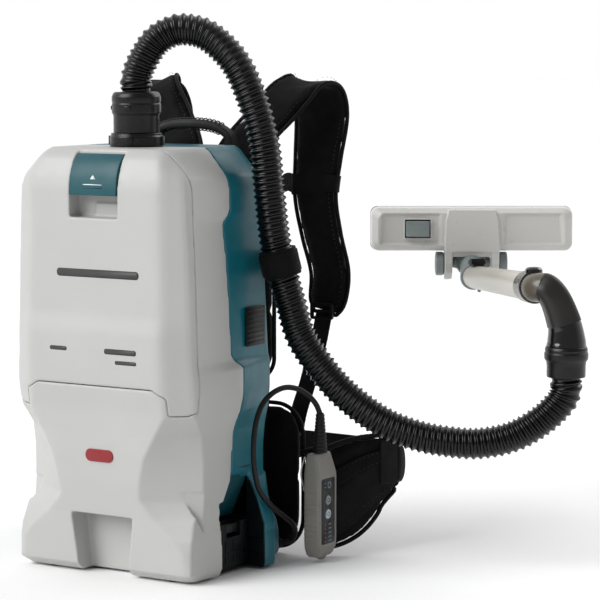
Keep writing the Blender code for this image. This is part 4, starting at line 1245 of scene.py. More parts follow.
def wand():
    """Tapered wand with a clear ferrule at the hand end."""
    length = (WAND_END - WAND_START).length
    profile = [(15.0, 30), (18.0, 30)]
    profile += [(18.0 - 2.2 * (run - 40) / (length - 40), run) for run in range(40, int(length) - 8, 12)]
    profile += [(15.7, length - 1), (15.0, length), (13.0, length)]
    profile += [(13.4, run) for run in range(int(length) - 8, 40, -12)]
    obj = soften(bare("wand_tube", *turned(profile, WAND_START, WAY, 96)), 1.3, 3)
    show(obj, "wand", "tube", "wand", 35)
    sleeve = ((15.2, 0.4), (19.6, 0.4), (20.2, 1.6), (20.2, 24), (19.4, 27), (18.4, 31), (15.2, 31))
    piece("wand_ferrule", turned(eased(sleeve, 0.8), WAND_START, WAY, 96), "ferrule", "tube", (), 35)
    side = WAY.cross(Vector((0, 0, 1))).normalized()
    view = (side * 1.0 + Vector((0, 0, -0.15))).normalized()
    for i, (run, turn) in enumerate(((10, 0.12), (17, 0.12))):
        at = WAND_START + WAY * run + (-view + Vector((0, 0, turn))).normalized() * 20.1
        piece(f"ferrule_dot_{i}", turned(((0.01, -0.6), (1.3, -0.6), (1.1, 0.5), (0.01, 0.7)), at,
                                         -view, 20, False), "black", "tube")
    clip_at = WAND_END - WAY * 22 + Vector((0, 0, 21.5))
    across = Vector((WAY.y, -WAY.x, 0)).normalized()
    parts = []
    for run, half, rise, thick in ((0, 12, 0.0, 3.0), *((at, 2.0, 3.2, 1.6) for at in (-6, -1, 4))):
        rings = [[clip_at + WAY * (run + s) + across * u + Vector((0, 0, v + rise))
                  for u, v in round_rect(10 if thick > 2 else 9, thick, min(1.5, thick - 0.1), 4)]
                 for s in (-half, half)]
        parts.append(bevel(bare("clip", *loft(rings)), 0.6, 2))
    show(joined("wand_clip", parts), "satin", "clip", "lock_clip", 40)
    foot = clip_at - Vector((0, 0, 3.8))
    piece("clip_seat", loft([[foot + WAY * s + across * u + Vector((0, 0, v))
                              for u, v in round_rect(8, 1.6, 1.2, 4)] for s in (-14, 14)]),
          "satin", "tube", (), 40, edge=(0.5, 2))
    piece("wand_nub", turned(((0.01, -2), (2.6, -2), (2.4, 2.2), (1.4, 3.2), (0.01, 3.4)),
                             WAND_END - WAY * 40 - Vector((0, 0, 16.4)), (0, 0, -1), 24, False),
          "grey", "tube", (), 35)


# ---------------------------------------------------------------- floor nozzle

def nozzle_matrix():
    """Nozzle frame to unit frame, in millimetres: X along it, Y to its front edge, Z out of its top."""
    c, s = math.cos(NOZZLE_YAW), math.sin(NOZZLE_YAW)
    return Matrix(((c, 0, s, NOZZLE_PIVOT.x), (s, 0, -c, NOZZLE_PIVOT.y), (0, 1, 0, NOZZLE_PIVOT.z),
                   (0, 0, 0, 1)))


NOZZLE = nozzle_matrix()


def in_nozzle(shape):
    """Put verts that are written in the nozzle frame into the unit frame."""
    verts, faces = shape
    return [NOZZLE @ Vector(v) for v in verts], faces


def nozzle_shell():
    """Nozzle shell with sunk side panels, raised yoke and arms."""
    rows = ((-16, 1.5), (-15, 0), (0, 0), (9, 0.4), (12, 1.6), (18, 8.5), (19.4, 9.5))
    shell = [[(u, v + 48, z) for u, v in round_rect(143 - inset, 31 - inset * 0.8, 11, 6)]
             for z, inset in rows]
    body = bare("nozzle_shell", *in_nozzle(loft(shell)))
    yoke = prism(((-39, 16), (39, 16), (37, 60), (33, 76), (-33, 76), (-37, 60)), "Z", 10, 23)
    cut(body, in_nozzle(yoke), "UNION")
    for side in (-1, 1):
        arm = ((-25, -4), (-23, 5), (-14, 15), (0, 21.5), (22, 22.6), (22, -15), (-12, -15), (-21, -12))
        x = sorted((side * 27.5, side * 38.5))
        cut(body, in_nozzle(prism(arm, "X", *x)), "UNION")
        near, far = 48, 127
        rings = []
        for z, grow in ((15.6, 0.0), (20.0, 5.5), (30.0, 5.5)):
            outline = [(near - grow, 29 - grow * 0.7), (far + grow, 29 - grow * 0.7),
                       (far - 4 + grow, 67 + grow), (near - grow, 67 + grow)]
            rings.append([(side * u, v, z) for u, v in outline])
        cut(body, in_nozzle(loft(rings)))
    cut(body, in_nozzle(prism(((9, 4), (17, 4), (17, 21), (9, 19)), "X", -30, 30)), "UNION")
    for hollow in (((-138, 138), (21.5, 74.5), (-30, 12)), ((-28, 28), (5, 30), (-20, 3)),
                   ((-95.5, -58.5), (35.5, 62.5), (3, 40))):
        cut(body, in_nozzle(box(*hollow)))
    soften(body, 1.6 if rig.quick() else 0.95, 3)
    show(body, "nozzle", "nozzle", "nozzle_body")


def nozzle_sole():
    """Grey lip round the shell, and the sole plate with its two slots."""
    rings = [[(u * k, v * (1 + (k - 1) * 4.6) + 48, z) for u, v in round_rect(143, 31, 10, 8)]
             for z, k in ((-14.4, 1.0), (-13.6, 1.003), (-12.2, 1.003), (-11.4, 1.0))]
    piece("nozzle_lip", in_nozzle(loft(rings)), "grey", "nozzle", (), 40)
    outline = [(u, v + 48) for u, v in round_rect(140.5, 29.5, 10, 5)]
    sole = bare("sole", *in_nozzle(prism(outline, "Z", -21, -16.4)))
    for low, high in ((26, 40), (60.4, 67.6)):
        cut(sole, in_nozzle(box((-130, 130), (low, high), (-30, 0))))
    bevel(sole, 1.2, 3, 50)
    show(sole, "satin", "nozzle", "sole_plate", 40)


def pedal():
    """Rocking pedal and the frame round it."""
    rocker = prism(((38, 15), (60, 15), (60, 24.0), (55, 22.4), (49, 21.8), (43, 22.8), (38, 25.0)),
                   "X", -93.6, -60.4)
    piece("pedal_cap", in_nozzle(rocker), "grey", "pedal", "pedal", 40, edge=(1.4, 3, 40))
    outline = [(u - 77, v + 49) for u, v in round_rect(20.6, 15.2, 4, 5)]
    surround = bare("pedal_frame", *in_nozzle(prism(outline, "Z", 13.0, 18.4)))
    cut(surround, in_nozzle(box((-95.0, -59.0), (36.0, 62.0), (5, 40))))
    show(bevel(surround, 0.6, 2, 40), "nozzle", "nozzle", (), 40)


def hairs():
    """Bristle strip made of short tufts on a backing strip."""
    parts = [bare("strip", *in_nozzle(box((-129, 129), (62, 66), (-14, -9))))]
    for i in range(86):
        x = -127.5 + i * 3.0
        lean = 0.6 * math.sin(i * 2.4)
        tuft = [[(x + u + lean * k, 64 + v + 0.4 * math.cos(i * 1.7) * k, z)
                 for u, v in round_rect(r, r, r * 0.9, 2)] for z, r, k in ((-13, 1.2, 0), (-21, 1.45, 1))]
        parts.append(bare("tuft", *in_nozzle(loft(tuft))))
    show(joined("bristles", parts), "bristle", "bristles", "bristle_strip", 50)


def nozzle_wheels():
    """Two wheels at the ends of the nozzle's arms."""
    for word, side in (("left", -1), ("right", 1)):
        centre = Vector((side * 39.0, -2, -2))
        tread = ((0.01, 0), (14.6, 0), (16.6, 1.4), (17.0, 3), (17.0, 9.5), (16.2, 11.4), (13.4, 12),
                 (12.6, 11.2), (4.6, 11.0), (4.2, 12.0), (0.01, 12.2))
        wheel = turned(eased(tread, 0.5)[2:-2], centre, (side, 0, 0), 72, False)
        piece("wheel_disc_" + word, in_nozzle(wheel), "grey", "wheel_" + word[0],
              "wheel_" + word, 30)


def nozzle():
    """Floor nozzle: shell, sole, pedal, bristles and wheels."""
    nozzle_shell()
    nozzle_sole()
    pedal()
    hairs()
    nozzle_wheels()


def neck():
    """Grey swivel neck that ends in a cross barrel between the nozzle's arms."""
    route = [WAND_END + WAY * 1.2, WAND_END + WAY * 8, WAND_END + WAY * 14,
             NOZZLE_PIVOT.lerp(WAND_END, 0.32), NOZZLE_PIVOT]
    points = smooth_path(route, 1.5)
    count = len(points)
    outer = [16.4 + 1.6 * math.exp(-((i / count - 0.08) / 0.08) ** 2) for i in range(count)]
    pipe_part = bare("neck_pipe", *pipe(points, outer, [12.5] * count, 64))
    along = Vector((math.cos(NOZZLE_YAW), math.sin(NOZZLE_YAW), 0))
    barrel = turned(((7, -26.5), (8, -25), (9, -20), (14, -17), (18, -11), (20, -4), (20, 4),
                     (18, 11), (14, 17), (9, 20), (8, 25), (7, 26.5)), NOZZLE_PIVOT, along, 72, False)
    cut(pipe_part, barrel, "UNION")
    soften(pipe_part, 2.0 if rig.quick() else 1.0, 4)
    show(pipe_part, "grey", "neck", "neck")
    piece("neck_ring", turned(eased(((17.0, 3.0), (18.0, 3.0), (18.0, 6.5), (17.0, 6.5)), 0.5),
                              WAND_END, WAY, 72), "grey", "neck", (), 40)


# ---------------------------------------------------------------- soft parts

def puffed(blank, name, voxel, cap, shrink):
    """Even the mesh, let cloth pressure fill it out, and cap how far a point moves."""
    mod = blank.modifiers.new("even", "REMESH")
    mod.mode = "VOXEL"
    mod.voxel_size = voxel * MM
    settle(blank)
    blank.name = name
    mesh = blank.data
    if shrink:
        normals = [v.normal.copy() for v in mesh.vertices]
        for v, normal in zip(mesh.vertices, normals):
            v.co -= normal * shrink * MM
    rest = [v.co.copy() for v in mesh.vertices]
    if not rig.quick():
        mod = blank.modifiers.new("cloth", "CLOTH")
        mod.settings.quality = 4
        mod.settings.use_pressure = True
        mod.settings.uniform_pressure_force = 4.0
        mod.settings.effector_weights.gravity = 0.0
        mod.point_cache.frame_start = 1
        mod.point_cache.frame_end = 20
        for step in range(1, 21):
            bpy.context.scene.frame_set(step)
        settle(blank)
        bpy.context.scene.frame_set(1)
        for v, start in zip(blank.data.vertices, rest):
            move = v.co - start
            if move.length > cap * MM:
                v.co = start + move.normalized() * cap * MM
    mod = blank.modifiers.new("fine", "SUBSURF")
    mod.levels = 1
    mod.render_levels = 1
    settle(blank)
    return blank


def wrinkle(obj, depth, scale, seed=0.0, where=None):
    """Push points along their normals by smooth noise."""
    normals = [v.normal.copy() for v in obj.data.vertices]
    for v, normal in zip(obj.data.vertices, normals):
        share = where(v.co) if where else 1.0
        if share > 0:
            p = v.co * scale + Vector((seed, seed * 0.7, seed * 0.3))
            v.co += normal * depth * MM * share * noise.noise(p)
    return obj


def edge_lines(route, across, inset, spacing=2.0, rise=0.0):
    """Two lines along the edges of a strap, with its surface normals."""
    lines = strap_lines(route, spacing, across)
    out = []
    for sign in (-1, 1):
        out.append(([c + s * sign * (w / 2 - inset) + n * rise for c, s, n, w in lines],
                    [n for _, _, n, _ in lines]))
    return out


def binding(name, route, across, radius=2.6, inset=1.2):
    """Bound edge that runs down one side of a pad, round its end and back."""
    left, right = [line for line, _ in edge_lines(route, across, inset, 3.0)]
    end = (left[-1] + right[-1]) / 2
    out = (left[-1] - left[-3]).normalized()
    parts = [bare("binding", *tube(line, radius, 14)) for line in (left, right)]
    cross = [left[-1], (left[-1] + end) / 2 + out * 1.0, end + out * 1.3, (right[-1] + end) / 2 + out * 1.0,
             right[-1]]
    parts.append(bare("binding", *tube(smooth_path(cross, 2.0), radius, 14)))
    return joined(name, parts)


def pad_blank(route, thick, across, spacing=6.0):
    """Plain swept pad for the cloth to fill."""
    rings = []
    for centre, side, normal, width in strap_lines(route, spacing, across):
        section = round_rect(width / 2 - 1.0, thick / 2, thick * 0.45, 3)
        rings.append([centre + side * u + normal * v for u, v in section])
    return bare("blank", *loft(rings))


def shoulder_straps():
    """Padded shoulder straps with bound edges, sewn webbing and a chest-strap slider."""
    for word, flip in (("right", 0), ("left", 1)):
        turn = mirrored if flip else list
        route = turn(SHOULDER_PAD)
        pad = puffed(pad_blank(route, PAD_THICK - 4, (1, 0, 0)), "shoulder_strap_" + word, 4.6, 3.0, 0.0)
        wrinkle(pad, 2.6, 26, 3.0 + flip, lambda co: max(0.25, 1 - abs(co.z - 0.575) / 0.07))
        show(pad, "fabric", "root", "shoulder_pad_" + word)
        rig.padded(pad, fill=0.45)
        edge = binding("shoulder_binding_" + word, route, (1, 0, 0))
        show(edge, "nylon", "root", (), 50)
        faces = strap_lines(route, 3.0, (1, 0, 0))
        seams = []
        for sign in (-1, 1):
            for depth in (1, -1):
                line = [c + s * sign * (w / 2 - 8) + n * depth * (PAD_THICK / 2 + 0.2)
                        for c, s, n, w in faces]
                seams.append(stitches("seam", line, [n * depth for _, _, n, _ in faces]))
        show(joined("shoulder_stitches_" + word, seams), "thread", "root")
        web = turn(SHOULDER_WEB)
        show(strap("ladder_web_" + word, web, 1.8, spacing=3.0, lift=lambda run, u: 0.4 * math.sin(run / 9)),
             "web", "root", "shoulder_web_" + word)
        buckle = ladder_lock(turn([(134, 194.5, 311, 30)])[0])
        show(buckle, "satin", "root", (), 40)
        buckle.name = "ladder_lock_" + word
        slider("chest_slider_" + word, route, word)


def ladder_lock(at):
    """Three-bar buckle at the lower end of a shoulder pad."""
    x, y, z = at[:3]
    outline = [(x + u, z + v) for u, v in round_rect(17, 11, 4, 4)]
    plate = bare("lock", *prism(outline, "Y", y - 11.0, y - 7.0))
    for low, high in ((-7, -1.5), (2, 7)):
        cut(plate, box((x - 13, x + 13), (y - 20, y + 2), (z + low, z + high)))
    return bevel(plate, 1.0, 3, 40)


def slider(name, route, word):
    """Band round the shoulder pad at chest height with a short pointed chest strap."""
    lines = [row for row in strap_lines(route, 2.0, (1, 0, 0)) if 462 < row[0].z < 488 and row[0].y > 150]
    rings = []
    for grow, order in ((1.9, 1), (0.7, -1)):
        for centre, side, normal, width in lines[::order]:
            section = round_rect(width / 2 + grow, PAD_THICK / 2 + grow, PAD_THICK * 0.42 + grow, 6)
            rings.append([centre + side * u + normal * v for u, v in section])
    band = bare("band", *loft(rings, True))
    bevel(band, 0.5, 2, 50)
    show(band, "fabric", "root", "strap_slider_" + word, 40)
    band.name = name
    centre, side, normal, width = lines[len(lines) // 2]
    inward = -1 if centre.x > 0 else 1
    start = centre + Vector((inward * (width / 2 + 1.0), 0, 0))
    route = [(*start, 24), (*(start + Vector((inward * 9, 2, 2))), 24),
             (*(start + Vector((inward * 20, 5, -3))), 20), (*(start + Vector((inward * 30, 7, -9))), 9)]
    show(strap("chest_stub_" + word, route, 2.2, (0, 0, 1), 2.0), "web", "root")


def back_pads():
    """Back and lumbar pads with piping and sewn channels."""
    specs = (("back_pad", 113, 226, 478, 91, 120, 30, (0.36, 0.64)),
             ("lumbar_pad", 146, 6, 198, 112, 134, 42, (0.5,)))
    for node, half, low, high, y0, y1, radius, channels in specs:
        mid = (low + high) / 2
        rings = []
        for y, inset in ((y0 + 2, 8), (y0 + 6, 4), (y1 - 8, 4), (y1 - 3, 9)):
            outline = round_rect(half - inset, (high - low) / 2 - inset, radius - inset, 6)
            rings.append([(u, y, mid + v) for u, v in outline])
        pad = puffed(bare("blank", *loft(rings)), node + "_cushion", 6.0, 4.0, 0.0)
        for v in pad.data.vertices:
            if v.co.y > (y0 + y1) / 2 * MM + SHIFT_Y * MM:
                for share in channels:
                    gap = abs(v.co.z / MM - (low + (high - low) * share)) / 5.0
                    v.co.y -= 0.0045 * math.exp(-gap * gap)
        wrinkle(pad, 1.2, 18, half)
        show(pad, "fabric", "root", node)
        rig.padded(pad, fill=0.6)
        loop = [(u, (y0 + y1) / 2 + 1, mid + v) for u, v in
                round_rect(half - 2.2, (high - low) / 2 - 2.2, radius - 2, 10)]
        piping(node + "_piping", loop, 2.7)
    for side, word in ((-1, "left"), (1, "right")):
        route = [(side * 132, 131, 176, 26), (side * 118, 134.5, 160, 26), (side * 100, 135.5, 138, 26),
                 (side * 84, 135, 118, 26)]
        show(strap("lumbar_web_" + word, route, 2.0, (side * 0.75, 0, -0.66)), "web", "root")
        at = (side * 118, 136, 162)
        tab = bare("tab", *box((at[0] - 15, at[0] + 15), (134.5, 138.5), (152, 172)))
        bevel(tab, 1.2, 3)
        tab.data.transform(Matrix.Translation(world(at)) @ Matrix.Rotation(side * math.radians(40), 4, "Y")
                           @ Matrix.Translation(-world(at)))
        show(tab, "satin", "root", (), 40)
        tab.name = "lumbar_adjuster_" + word


def piping(name, loop, radius, body="root"):
    """Closed round cord along a loop of points."""
    points = [Vector(p) for p in loop]
    count = len(points)
    dense = []
    for i in range(count):
        a, b = points[i], points[(i + 1) % count]
        for s in range(max(1, round((b - a).length / 4))):
            dense.append(a.lerp(b, s / max(1, round((b - a).length / 4))))
    normal = (dense[len(dense) // 3] - dense[0]).cross(dense[2 * len(dense) // 3] - dense[0]).normalized()
    rings = []
    for i, p in enumerate(dense):
        way = (dense[(i + 1) % len(dense)] - dense[i - 1]).normalized()
        side = way.cross(normal).normalized()
        rings.append([p + (side * math.cos(a) + normal * math.sin(a)) * radius
                      for a in (2 * math.pi * s / 14 for s in range(14))])
    return piece(name, loft(rings, True), "nylon", body)


def hip_face(word, lines, outer):
    """Pocket panel, flap, seams and upright web on a hip wing's outer face."""
    face = -1 if lines[2][2].y > 0 else 1
    panel = [(*(c + n * face * outer + Vector((0, 0, -w * 0.13))), w * 0.5)
             for c, _, n, w in lines[3:-6:4]]
    show(strap("hip_pocket_" + word, panel, 1.8, (0, 0, 1), 3.0), "nylon", "root")
    flap = [(*(c + n * face * (outer + 1.4) + Vector((0, 0, w * 0.16))), w * 0.2)
            for c, _, n, w in lines[3:-6:4]]
    show(strap("hip_flap_" + word, flap, 1.8, (0, 0, 1), 3.0), "fabric", "root")
    seams = []
    for level in (-0.36, 0.1, 0.24):
        line = [c + n * face * (outer + 2.4) + Vector((0, 0, w * level)) for c, _, n, w in lines[3:-6]]
        seams.append(stitches("seam", line, [n * face for _, _, n, _ in lines[3:-6]]))
    show(joined("hip_stitches_" + word, seams), "thread", "root")
    centre, _, normal, width = lines[-7]
    upright = [(*(centre + normal * face * (outer + 2.2) + Vector((0, 0, width * k))), 24)
               for k in (-0.3, -0.1, 0.15, 0.4)]
    show(strap("hip_web_" + word, upright, 2.0, lines[-7][1].cross(normal)), "web", "root")


def hip_tip(word, tip, sign):
    """Rolled end of a hip wing with its wire bar."""
    rings = []
    for step in range(9):
        level = -1 + step / 4
        k = math.sqrt(max(0.02, 1 - level * level))
        rings.append([(tip.x + sign * (u * (0.55 + 0.45 * k) - 2), tip.y + v * (0.5 + 0.5 * k),
                       tip.z - 2 + level * 25) for u, v in round_rect(11, 11, 6, 5)])
    show(soften(bare("hip_fold_" + word, *loft(rings)), 1.8, 3), "nylon", "root")
    bar = [(tip.x - sign * 14, tip.y - 12, tip.z - 22), (tip.x + sign * 4, tip.y - 8, tip.z - 24),
           (tip.x + sign * 5, tip.y - 2, tip.z - 24)]
    piece("hip_bar_" + word, tube(smooth_path(bar, 1.5), 1.1, 12), "satin")


def waist_belt(word, belt):
    """Half of the waist webbing with its keeper loop."""
    show(strap("waist_belt_" + word, belt, 2.2, (0, 0, 1), 3.0), "web", "root", "waist_web_" + word)
    keeper = strap_lines(belt, 3.0, (0, 0, 1))
    at = keeper[int(len(keeper) * 0.45)][0]
    loop = bevel(bare("keeper", *box((at.x - 5, at.x + 5), (at.y - 3.2, at.y + 3.2),
                                     (at.z - 21, at.z + 21))), 1.2, 3)
    show(loop, "satin", "root", (), 40)
    loop.name = "belt_keeper_" + word


def hip_belt():
    """Hip wings with a thick bound edge, a pocket panel, webbing and the waist belt."""
    for word, flip in (("right", 0), ("left", 1)):
        turn = mirrored if flip else list
        route = turn(HIP_WING)
        pad = puffed(pad_blank(route, PAD_THICK - 4, (0, 0, 1)), "hip_cushion_" + word, 4.6, 3.0, 0.0)
        wrinkle(pad, 1.6, 22, 5.0 + flip)
        show(pad, "fabric", "root", "hip_wing_" + word)
        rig.padded(pad, fill=0.55)
        show(binding("hip_binding_" + word, route, (0, 0, 1), 3.0, 1.0), "nylon", "root", (), 50)
        lines = strap_lines(route, 3.0, (0, 0, 1))
        hip_face(word, lines, PAD_THICK / 2 + 1.4)
        hip_tip(word, lines[-1][0], -1 if flip else 1)
        waist_belt(word, turn(WAIST_WEB))


def buckle():
    """Side-release waist buckle."""
    for node, sign in (("buckle_socket", 1), ("buckle_tab", -1)):
        x, y, z = unit_box(node)
        half = bare(node + "_shell", *box(x, y, z))
        mid_z = (z[0] + z[1]) / 2
        if sign > 0:
            for side in (-1, 1):
                slot = box((x[0] + 6, x[0] + 19), (y[0] - 5, y[1] + 5),
                           sorted((mid_z + side * 15.5, mid_z + side * 30)))
                cut(half, slot)
        else:
            for side in (-1, 1):
                prong = box((x[1] - 1, x[1] + 18), (y[0] + 3.0, y[1] - 3.0),
                            sorted((mid_z + side * 16.4, mid_z + side * 19.6)))
                cut(half, prong, "UNION")
        bar = sorted((x[1] if sign > 0 else x[0], (x[1] if sign > 0 else x[0]) - sign * 6))
        cut(half, box((bar[0] - (0 if sign > 0 else -2), bar[1] - (2 if sign > 0 else 0)),
                      (y[0] - 5, y[1] + 5), (z[0] + 3, z[1] - 3)))
        bevel(half, 1.3, 3, 40)
        show(half, "satin", "root", node, 40)


def carry_handle():
    """Rubbery carry handle with a ribbed middle and end lugs."""
    route = ((-64, 84.5, 500.6, 22), (-64, 84.5, 520, 22), (-57, 84.5, 541, 22),
             (-35, 84.5, 552, 22), (0, 84.5, 555, 22), (35, 84.5, 552, 22), (57, 84.5, 541, 22),
             (64, 84.5, 520, 22), (64, 84.5, 500.6, 22))
    lines = strap_lines(route, 2.0, (1, 0, 1))
    rings = []
    for i, (centre, _, _, _) in enumerate(lines):
        run = i / (len(lines) - 1)
        way = lines[min(i + 1, len(lines) - 1)][0] - lines[max(i - 1, 0)][0]
        depth = Vector((0, 1, 0))
        flat = way.normalized().cross(depth)
        waist = 1.0 + 0.22 * math.exp(-((run - 0.5) / 0.24) ** 2)
        section = round_rect(5.0 * waist, 8.5 * (0.8 + 0.25 * waist), 4.3, 5)
        rings.append([centre + flat * u + depth * v for u, v in section])
    core = bare("handle_core", *loft(rings))
    soften(core, 1.3, 3)
    show(core, "rubber", "root", "carry_handle")
    grooves = []
    for i in range(int(len(lines) * 0.28), int(len(lines) * 0.72), 3):
        centre = lines[i][0]
        way = (lines[i + 1][0] - lines[i - 1][0]).normalized()
        grooves.append(bare("rib", *turned(eased(((7.2, -0.6), (8.6, -0.6), (8.6, 0.6), (7.2, 0.6)), 0.3),
                                           centre, way, 40)))
    show(joined("handle_ribs", grooves), "rubber", "root", (), 40)
    for side, word in ((-1, "left"), (1, "right")):
        lug = bevel(bare("lug", *box((side * 64 - 12, side * 64 + 12), (77.5, 91), (493, 507))), 2.5, 3)
        show(lug, "satin", "root", (), 40)
        lug.name = "handle_lug_" + word


def plate():
    """Ribbed harness plate behind the unit."""
    restyle("harness_plate", "satin")


# ---------------------------------------------------------------- pendant and cable

KEYS = (("mode_button", "mode_key", "grey", "panel"), ("power_button", "power_key", "key", "teal"))
PANEL_MID = 67               # middle height of the film panel


def pendant_case(x, cy, z):
    """Chamfered case with a row of grip ribs, a cable lug and a sunk face for the film."""
    cx = (x[0] + x[1]) / 2
    low, high = z[0] + 5, z[1]
    rings = []
    for level, k, front in ((low - 0.2, 0.72, -3.5), (low + 3.5, 0.86, -1.6), (low + 12, 0.97, 0),
                            (low + 24, 1.0, 0), (high - 30, 1.0, 0), (high - 26, 1.0, -0.4),
                            (high - 8, 0.9, -5.2), (high - 2, 0.84, -6.4), (high - 0.4, 0.78, -6.8)):
        rings.append([(cx + (u + front * (max(u, 0) / 12)) * k, cy + v * k, level)
                      for u, v in round_rect(12, 22.5, 4.0, 5)])
    case = bare("case", *loft(rings))
    lug = ((3.4, z[0] + 0.3), (5.4, z[0] + 1.2), (8.4, low + 3), (8.4, low + 14))
    cut(case, turned(lug, (cx + 1, cy, 0), closed=False), "UNION")
    cut(case, prism([(cy + u, PANEL_MID + v) for u, v in round_rect(16.4, 42.4, 3.0, 5)], "X",
                    x[1] - 1.0, x[1] + 8))
    soften(case, 1.6 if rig.quick() else 0.8, 3)
    for k in range(9):
        level = low + 26 + k * 7
        for v in case.data.vertices:
            gap = v.co.z / MM - level
            if v.co.y / MM - SHIFT_Y < cy - 17 and abs(gap) < 3:
                v.co.y += 0.0006 * math.exp(-gap * gap)
    show(case, "pendant", "root", "pendant_case")


def key_place(node, face):
    """Middle of a key on the film's face."""
    _, y, z = unit_box(node)
    return face, (y[0] + y[1]) / 2, (z[0] + z[1]) / 2


def panel_keys(face, cy):
    """Film panel with a hole for each key, and each key's domed cap and ring."""
    film = bare("panel_film", *prism([(cy + u, PANEL_MID + v) for u, v in round_rect(16, 42, 2.8, 5)],
                                     "X", face - 1.4, face - 0.35))
    for node, *_ in KEYS:
        cut(film, turned(((6.8, -6), (6.8, 6)), key_place(node, face), (1, 0, 0), 40, False))
    show(bevel(film, 0.3, 2, 40), "panel", "root", (), 40)
    for node, body, finish, ring_finish in KEYS:
        at = key_place(node, face)
        cap = turned(((0.01, -3.4), (6.0, -3.4), (6.0, 0.1), (5.6, 0.6), (4.9, 0.75), (3.4, 0.55),
                      (0.01, 0.45)), at, (1, 0, 0), 48, False)
        piece(node + "_cap", cap, finish, body, node, 40)
        ring = turned(eased(((2.2, 0.3), (3.0, 0.3), (3.0, 0.85), (2.2, 0.85)), 0.15), at, (1, 0, 0), 40)
        piece(node + "_ring", ring, ring_finish, body)


def panel_lamps(face, cy):
    """Two columns of lamps under the keys, and small marks above them."""
    floor_z = unit_box("power_button")[2][0] - 7
    for finish, shift, half in (("red", -6.5, 1.5), ("lamp", 4.0, 3.4)):
        levels = [floor_z - row * 5.4 for row in range(5)]
        lamps = [bare("lamp", *box((face - 0.6, face - 0.1), (cy + shift - half, cy + shift + half),
                                   (level - 0.8, level + 0.8))) for level in levels]
        show(joined("panel_lamps_" + finish, lamps), finish, "root")
    marks = [bare("mark", *box((face - 0.6, face - 0.1), (cy - 9, cy - 4), (level - 0.5, level + 0.5)))
             for level in (103, 98)]
    marks.append(bare("mark", *turned(eased(((2.8, -0.4), (4.2, -0.4), (4.2, 0.3), (2.8, 0.3)), 0.1),
                                      (face - 0.4, cy + 3, 100), (1, 0, 0), 32)))
    show(joined("panel_marks", marks), "lamp", "root")


def relief():
    """Ribbed strain relief round the cable where it enters the pendant."""
    foot, top = unit_box("strain_relief")[2][0], 191.6
    count = 11
    pitch = (top - foot) / count
    profile = [(4.6, foot)]
    for i in range(count):
        level = foot + i * pitch
        r = 9.4 - i * 0.37
        profile += [(r, level), (r, level + pitch * 0.6), (r - 0.9, level + pitch * 0.7),
                    (r - 0.9, level + pitch * 0.9)]
    profile.append((4.6, top))
    piece("relief_sleeve", turned(profile, (184, 100, 0), segments=48),
          "rubber", "root", "strain_relief", 40)


def clip_wire():
    """Bowed wire of the pendant's belt clip, down one side and up the other."""
    x, y, z = unit_box("belt_clip")
    down = [(x[1] - 3.5 - 5.5 * math.sin(math.pi * (k / 8)), y[0] + 1.5, z[1] - 2 - k * 5.4)
            for k in range(9)]
    up = [(px, y[1] - 2.5, pz) for px, _, pz in reversed(down)]
    piece("clip_wire", tube(smooth_path(down + up, 1.5), 1.2, 12), "steel", "root", "belt_clip")


def pendant():
    """Hand control: case, film panel with keys and lamps, strain relief and clip."""
    x, y, z = unit_box("pendant_case")
    middle = (y[0] + y[1]) / 2
    pendant_case(x, middle, z)
    panel_keys(x[1], middle)
    panel_lamps(x[1], middle)
    relief()
    clip_wire()


def cable():
    """Round cable from the leg to the pendant."""
    points = smooth_path(CABLE_ROUTE, 2.5)
    obj = bare("cable_tube", *tube(points, CABLE_D / 2, 24))
    show(obj, "rubber", "root", "cable")
    gland = turned(eased(((0.01, 0), (7.8, 0), (7.8, 2.2), (5.6, 3.2), (5.0, 6.4), (0.01, 6.4)), 0.5)[2:-2],
                   (124.6, 92.2, 20), Vector((0.63, 0.78, 0)).normalized(), 40, False)
    piece("gland_boot", gland, "rubber", "root", "cable_gland", 40)
    return obj, [world(p) for p in points]


# ---------------------------------------------------------------- camera, light and floor

CAMERA_AT = Vector((1.82371, -2.64253, 0.65613))
CAMERA_AZIMUTH = math.radians(32.005)
CAMERA_ELEVATION = math.radians(5.838)
LENS = 149.84
BACKDROP_WAY = (-0.53, 0.848, 0.0)


def camera():
    """Long-lens camera from the front right, a little above the middle."""
    data = bpy.data.cameras.new("camera")
    data.lens = LENS
    data.sensor_width = 36.0
    data.clip_end = 100.0
    obj = bpy.data.objects.new("camera", data)
    bpy.context.scene.collection.objects.link(obj)
    back = Vector((math.sin(CAMERA_AZIMUTH) * math.cos(CAMERA_ELEVATION),
                   -math.cos(CAMERA_AZIMUTH) * math.cos(CAMERA_ELEVATION), math.sin(CAMERA_ELEVATION)))
    obj.location = CAMERA_AT
    obj.rotation_mode = "QUATERNION"
    obj.rotation_quaternion = (-back).to_track_quat("-Z", "Y")
    bpy.context.scene.camera = obj


def lamp(name, kind, at, size, power, aim=(0.1, -0.05, 0.3)):
    """Soft light aimed at the object: a square panel, or a sun with a wide disc."""
    data = bpy.data.lights.new(name, kind)
    if kind == "SUN":
        data.angle = size
    else:
        data.size = size
    data.energy = power
    obj = bpy.data.objects.new(name, data)
    bpy.context.scene.collection.objects.link(obj)
    obj.location = at
    obj.rotation_euler = (Vector(aim) - Vector(at)).to_track_quat("-Z", "Y").to_euler()


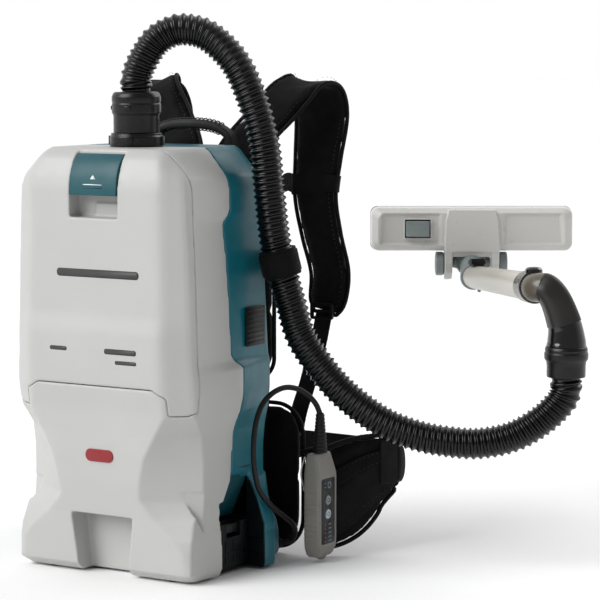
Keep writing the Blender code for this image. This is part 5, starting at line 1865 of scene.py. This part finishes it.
def surroundings():
    """White backdrop behind the object that falls off to grey behind the viewer."""
    scene_world = bpy.data.worlds.new("studio")
    scene_world.use_nodes = True
    tree = scene_world.node_tree
    back = tree.nodes["Background"]
    back.inputs["Color"].default_value = (1.0, 1.0, 1.0, 1.0)
    place = tree.nodes.new("ShaderNodeTexCoord")
    along = tree.nodes.new("ShaderNodeVectorMath")
    along.operation = "DOT_PRODUCT"
    along.inputs[1].default_value = BACKDROP_WAY
    fall = tree.nodes.new("ShaderNodeMapRange")
    fall.inputs["From Min"].default_value = -0.5
    fall.inputs["From Max"].default_value = 0.6
    fall.inputs["To Min"].default_value = 0.26
    fall.inputs["To Max"].default_value = 1.0
    tree.links.new(place.outputs["Generated"], along.inputs[0])
    tree.links.new(along.outputs["Value"], fall.inputs["Value"])
    tree.links.new(fall.outputs["Result"], back.inputs["Strength"])
    bpy.context.scene.world = scene_world
    bpy.context.scene.view_settings.view_transform = "Standard"


def studio():
    """Pale floor, pale surroundings and two soft lights."""
    mesh = bpy.data.meshes.new("floor")
    reach = 40.0
    mesh.from_pydata([(-reach, -reach, 0), (reach, -reach, 0), (reach, reach, 0), (-reach, reach, 0)],
                     [], [(0, 1, 2, 3)])
    floor = bpy.data.objects.new("floor", mesh)
    bpy.context.scene.collection.objects.link(floor)
    g = Graph("floor_paint", roughness=0.9)
    mesh.materials.append(g.out(g.ramp(g.noise(0.8, 2), srgb(243, 243, 243), srgb(247, 247, 247))))
    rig.stage(floor)
    surroundings()
    lamp("key", "SUN", (-1.5, -2.7, 2.4), 0.8, 2.9)
    lamp("rim", "AREA", (1.2, 2.4, 2.2), 1.6, 22)


def main():
    """Build every piece."""
    camera()
    hose_piece, hose_route = hose()
    cable_piece, cable_route = cable()
    intake()
    ring = end_cuff()
    cone = grip()
    wand()
    nozzle()
    neck()
    shells()
    latch()
    badge()
    vent()
    feet()
    bay()
    batteries()
    insides()
    holder()
    pendant()
    plate()
    shoulder_straps()
    back_pads()
    hip_belt()
    buckle()
    carry_handle()
    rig.cord(hose_piece, exit=hose_route[0], length=path_length(hose_route), diameter=HOSE_D * MM,
            far_end="tool", stiffness="medium", lay="hanging", path=hose_route, with_pieces=[ring, cone])
    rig.cord(cable_piece, exit=cable_route[0], length=path_length(cable_route), diameter=CABLE_D * MM,
            far_end="object", stiffness="medium", lay="loose", path=cable_route)
    studio()


main()
box_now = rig.bounds()
with open("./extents.json", "w") as out_file:
    json.dump([[list(corner) for corner in CAD_BOX], [list(corner) for corner in box_now]], out_file)
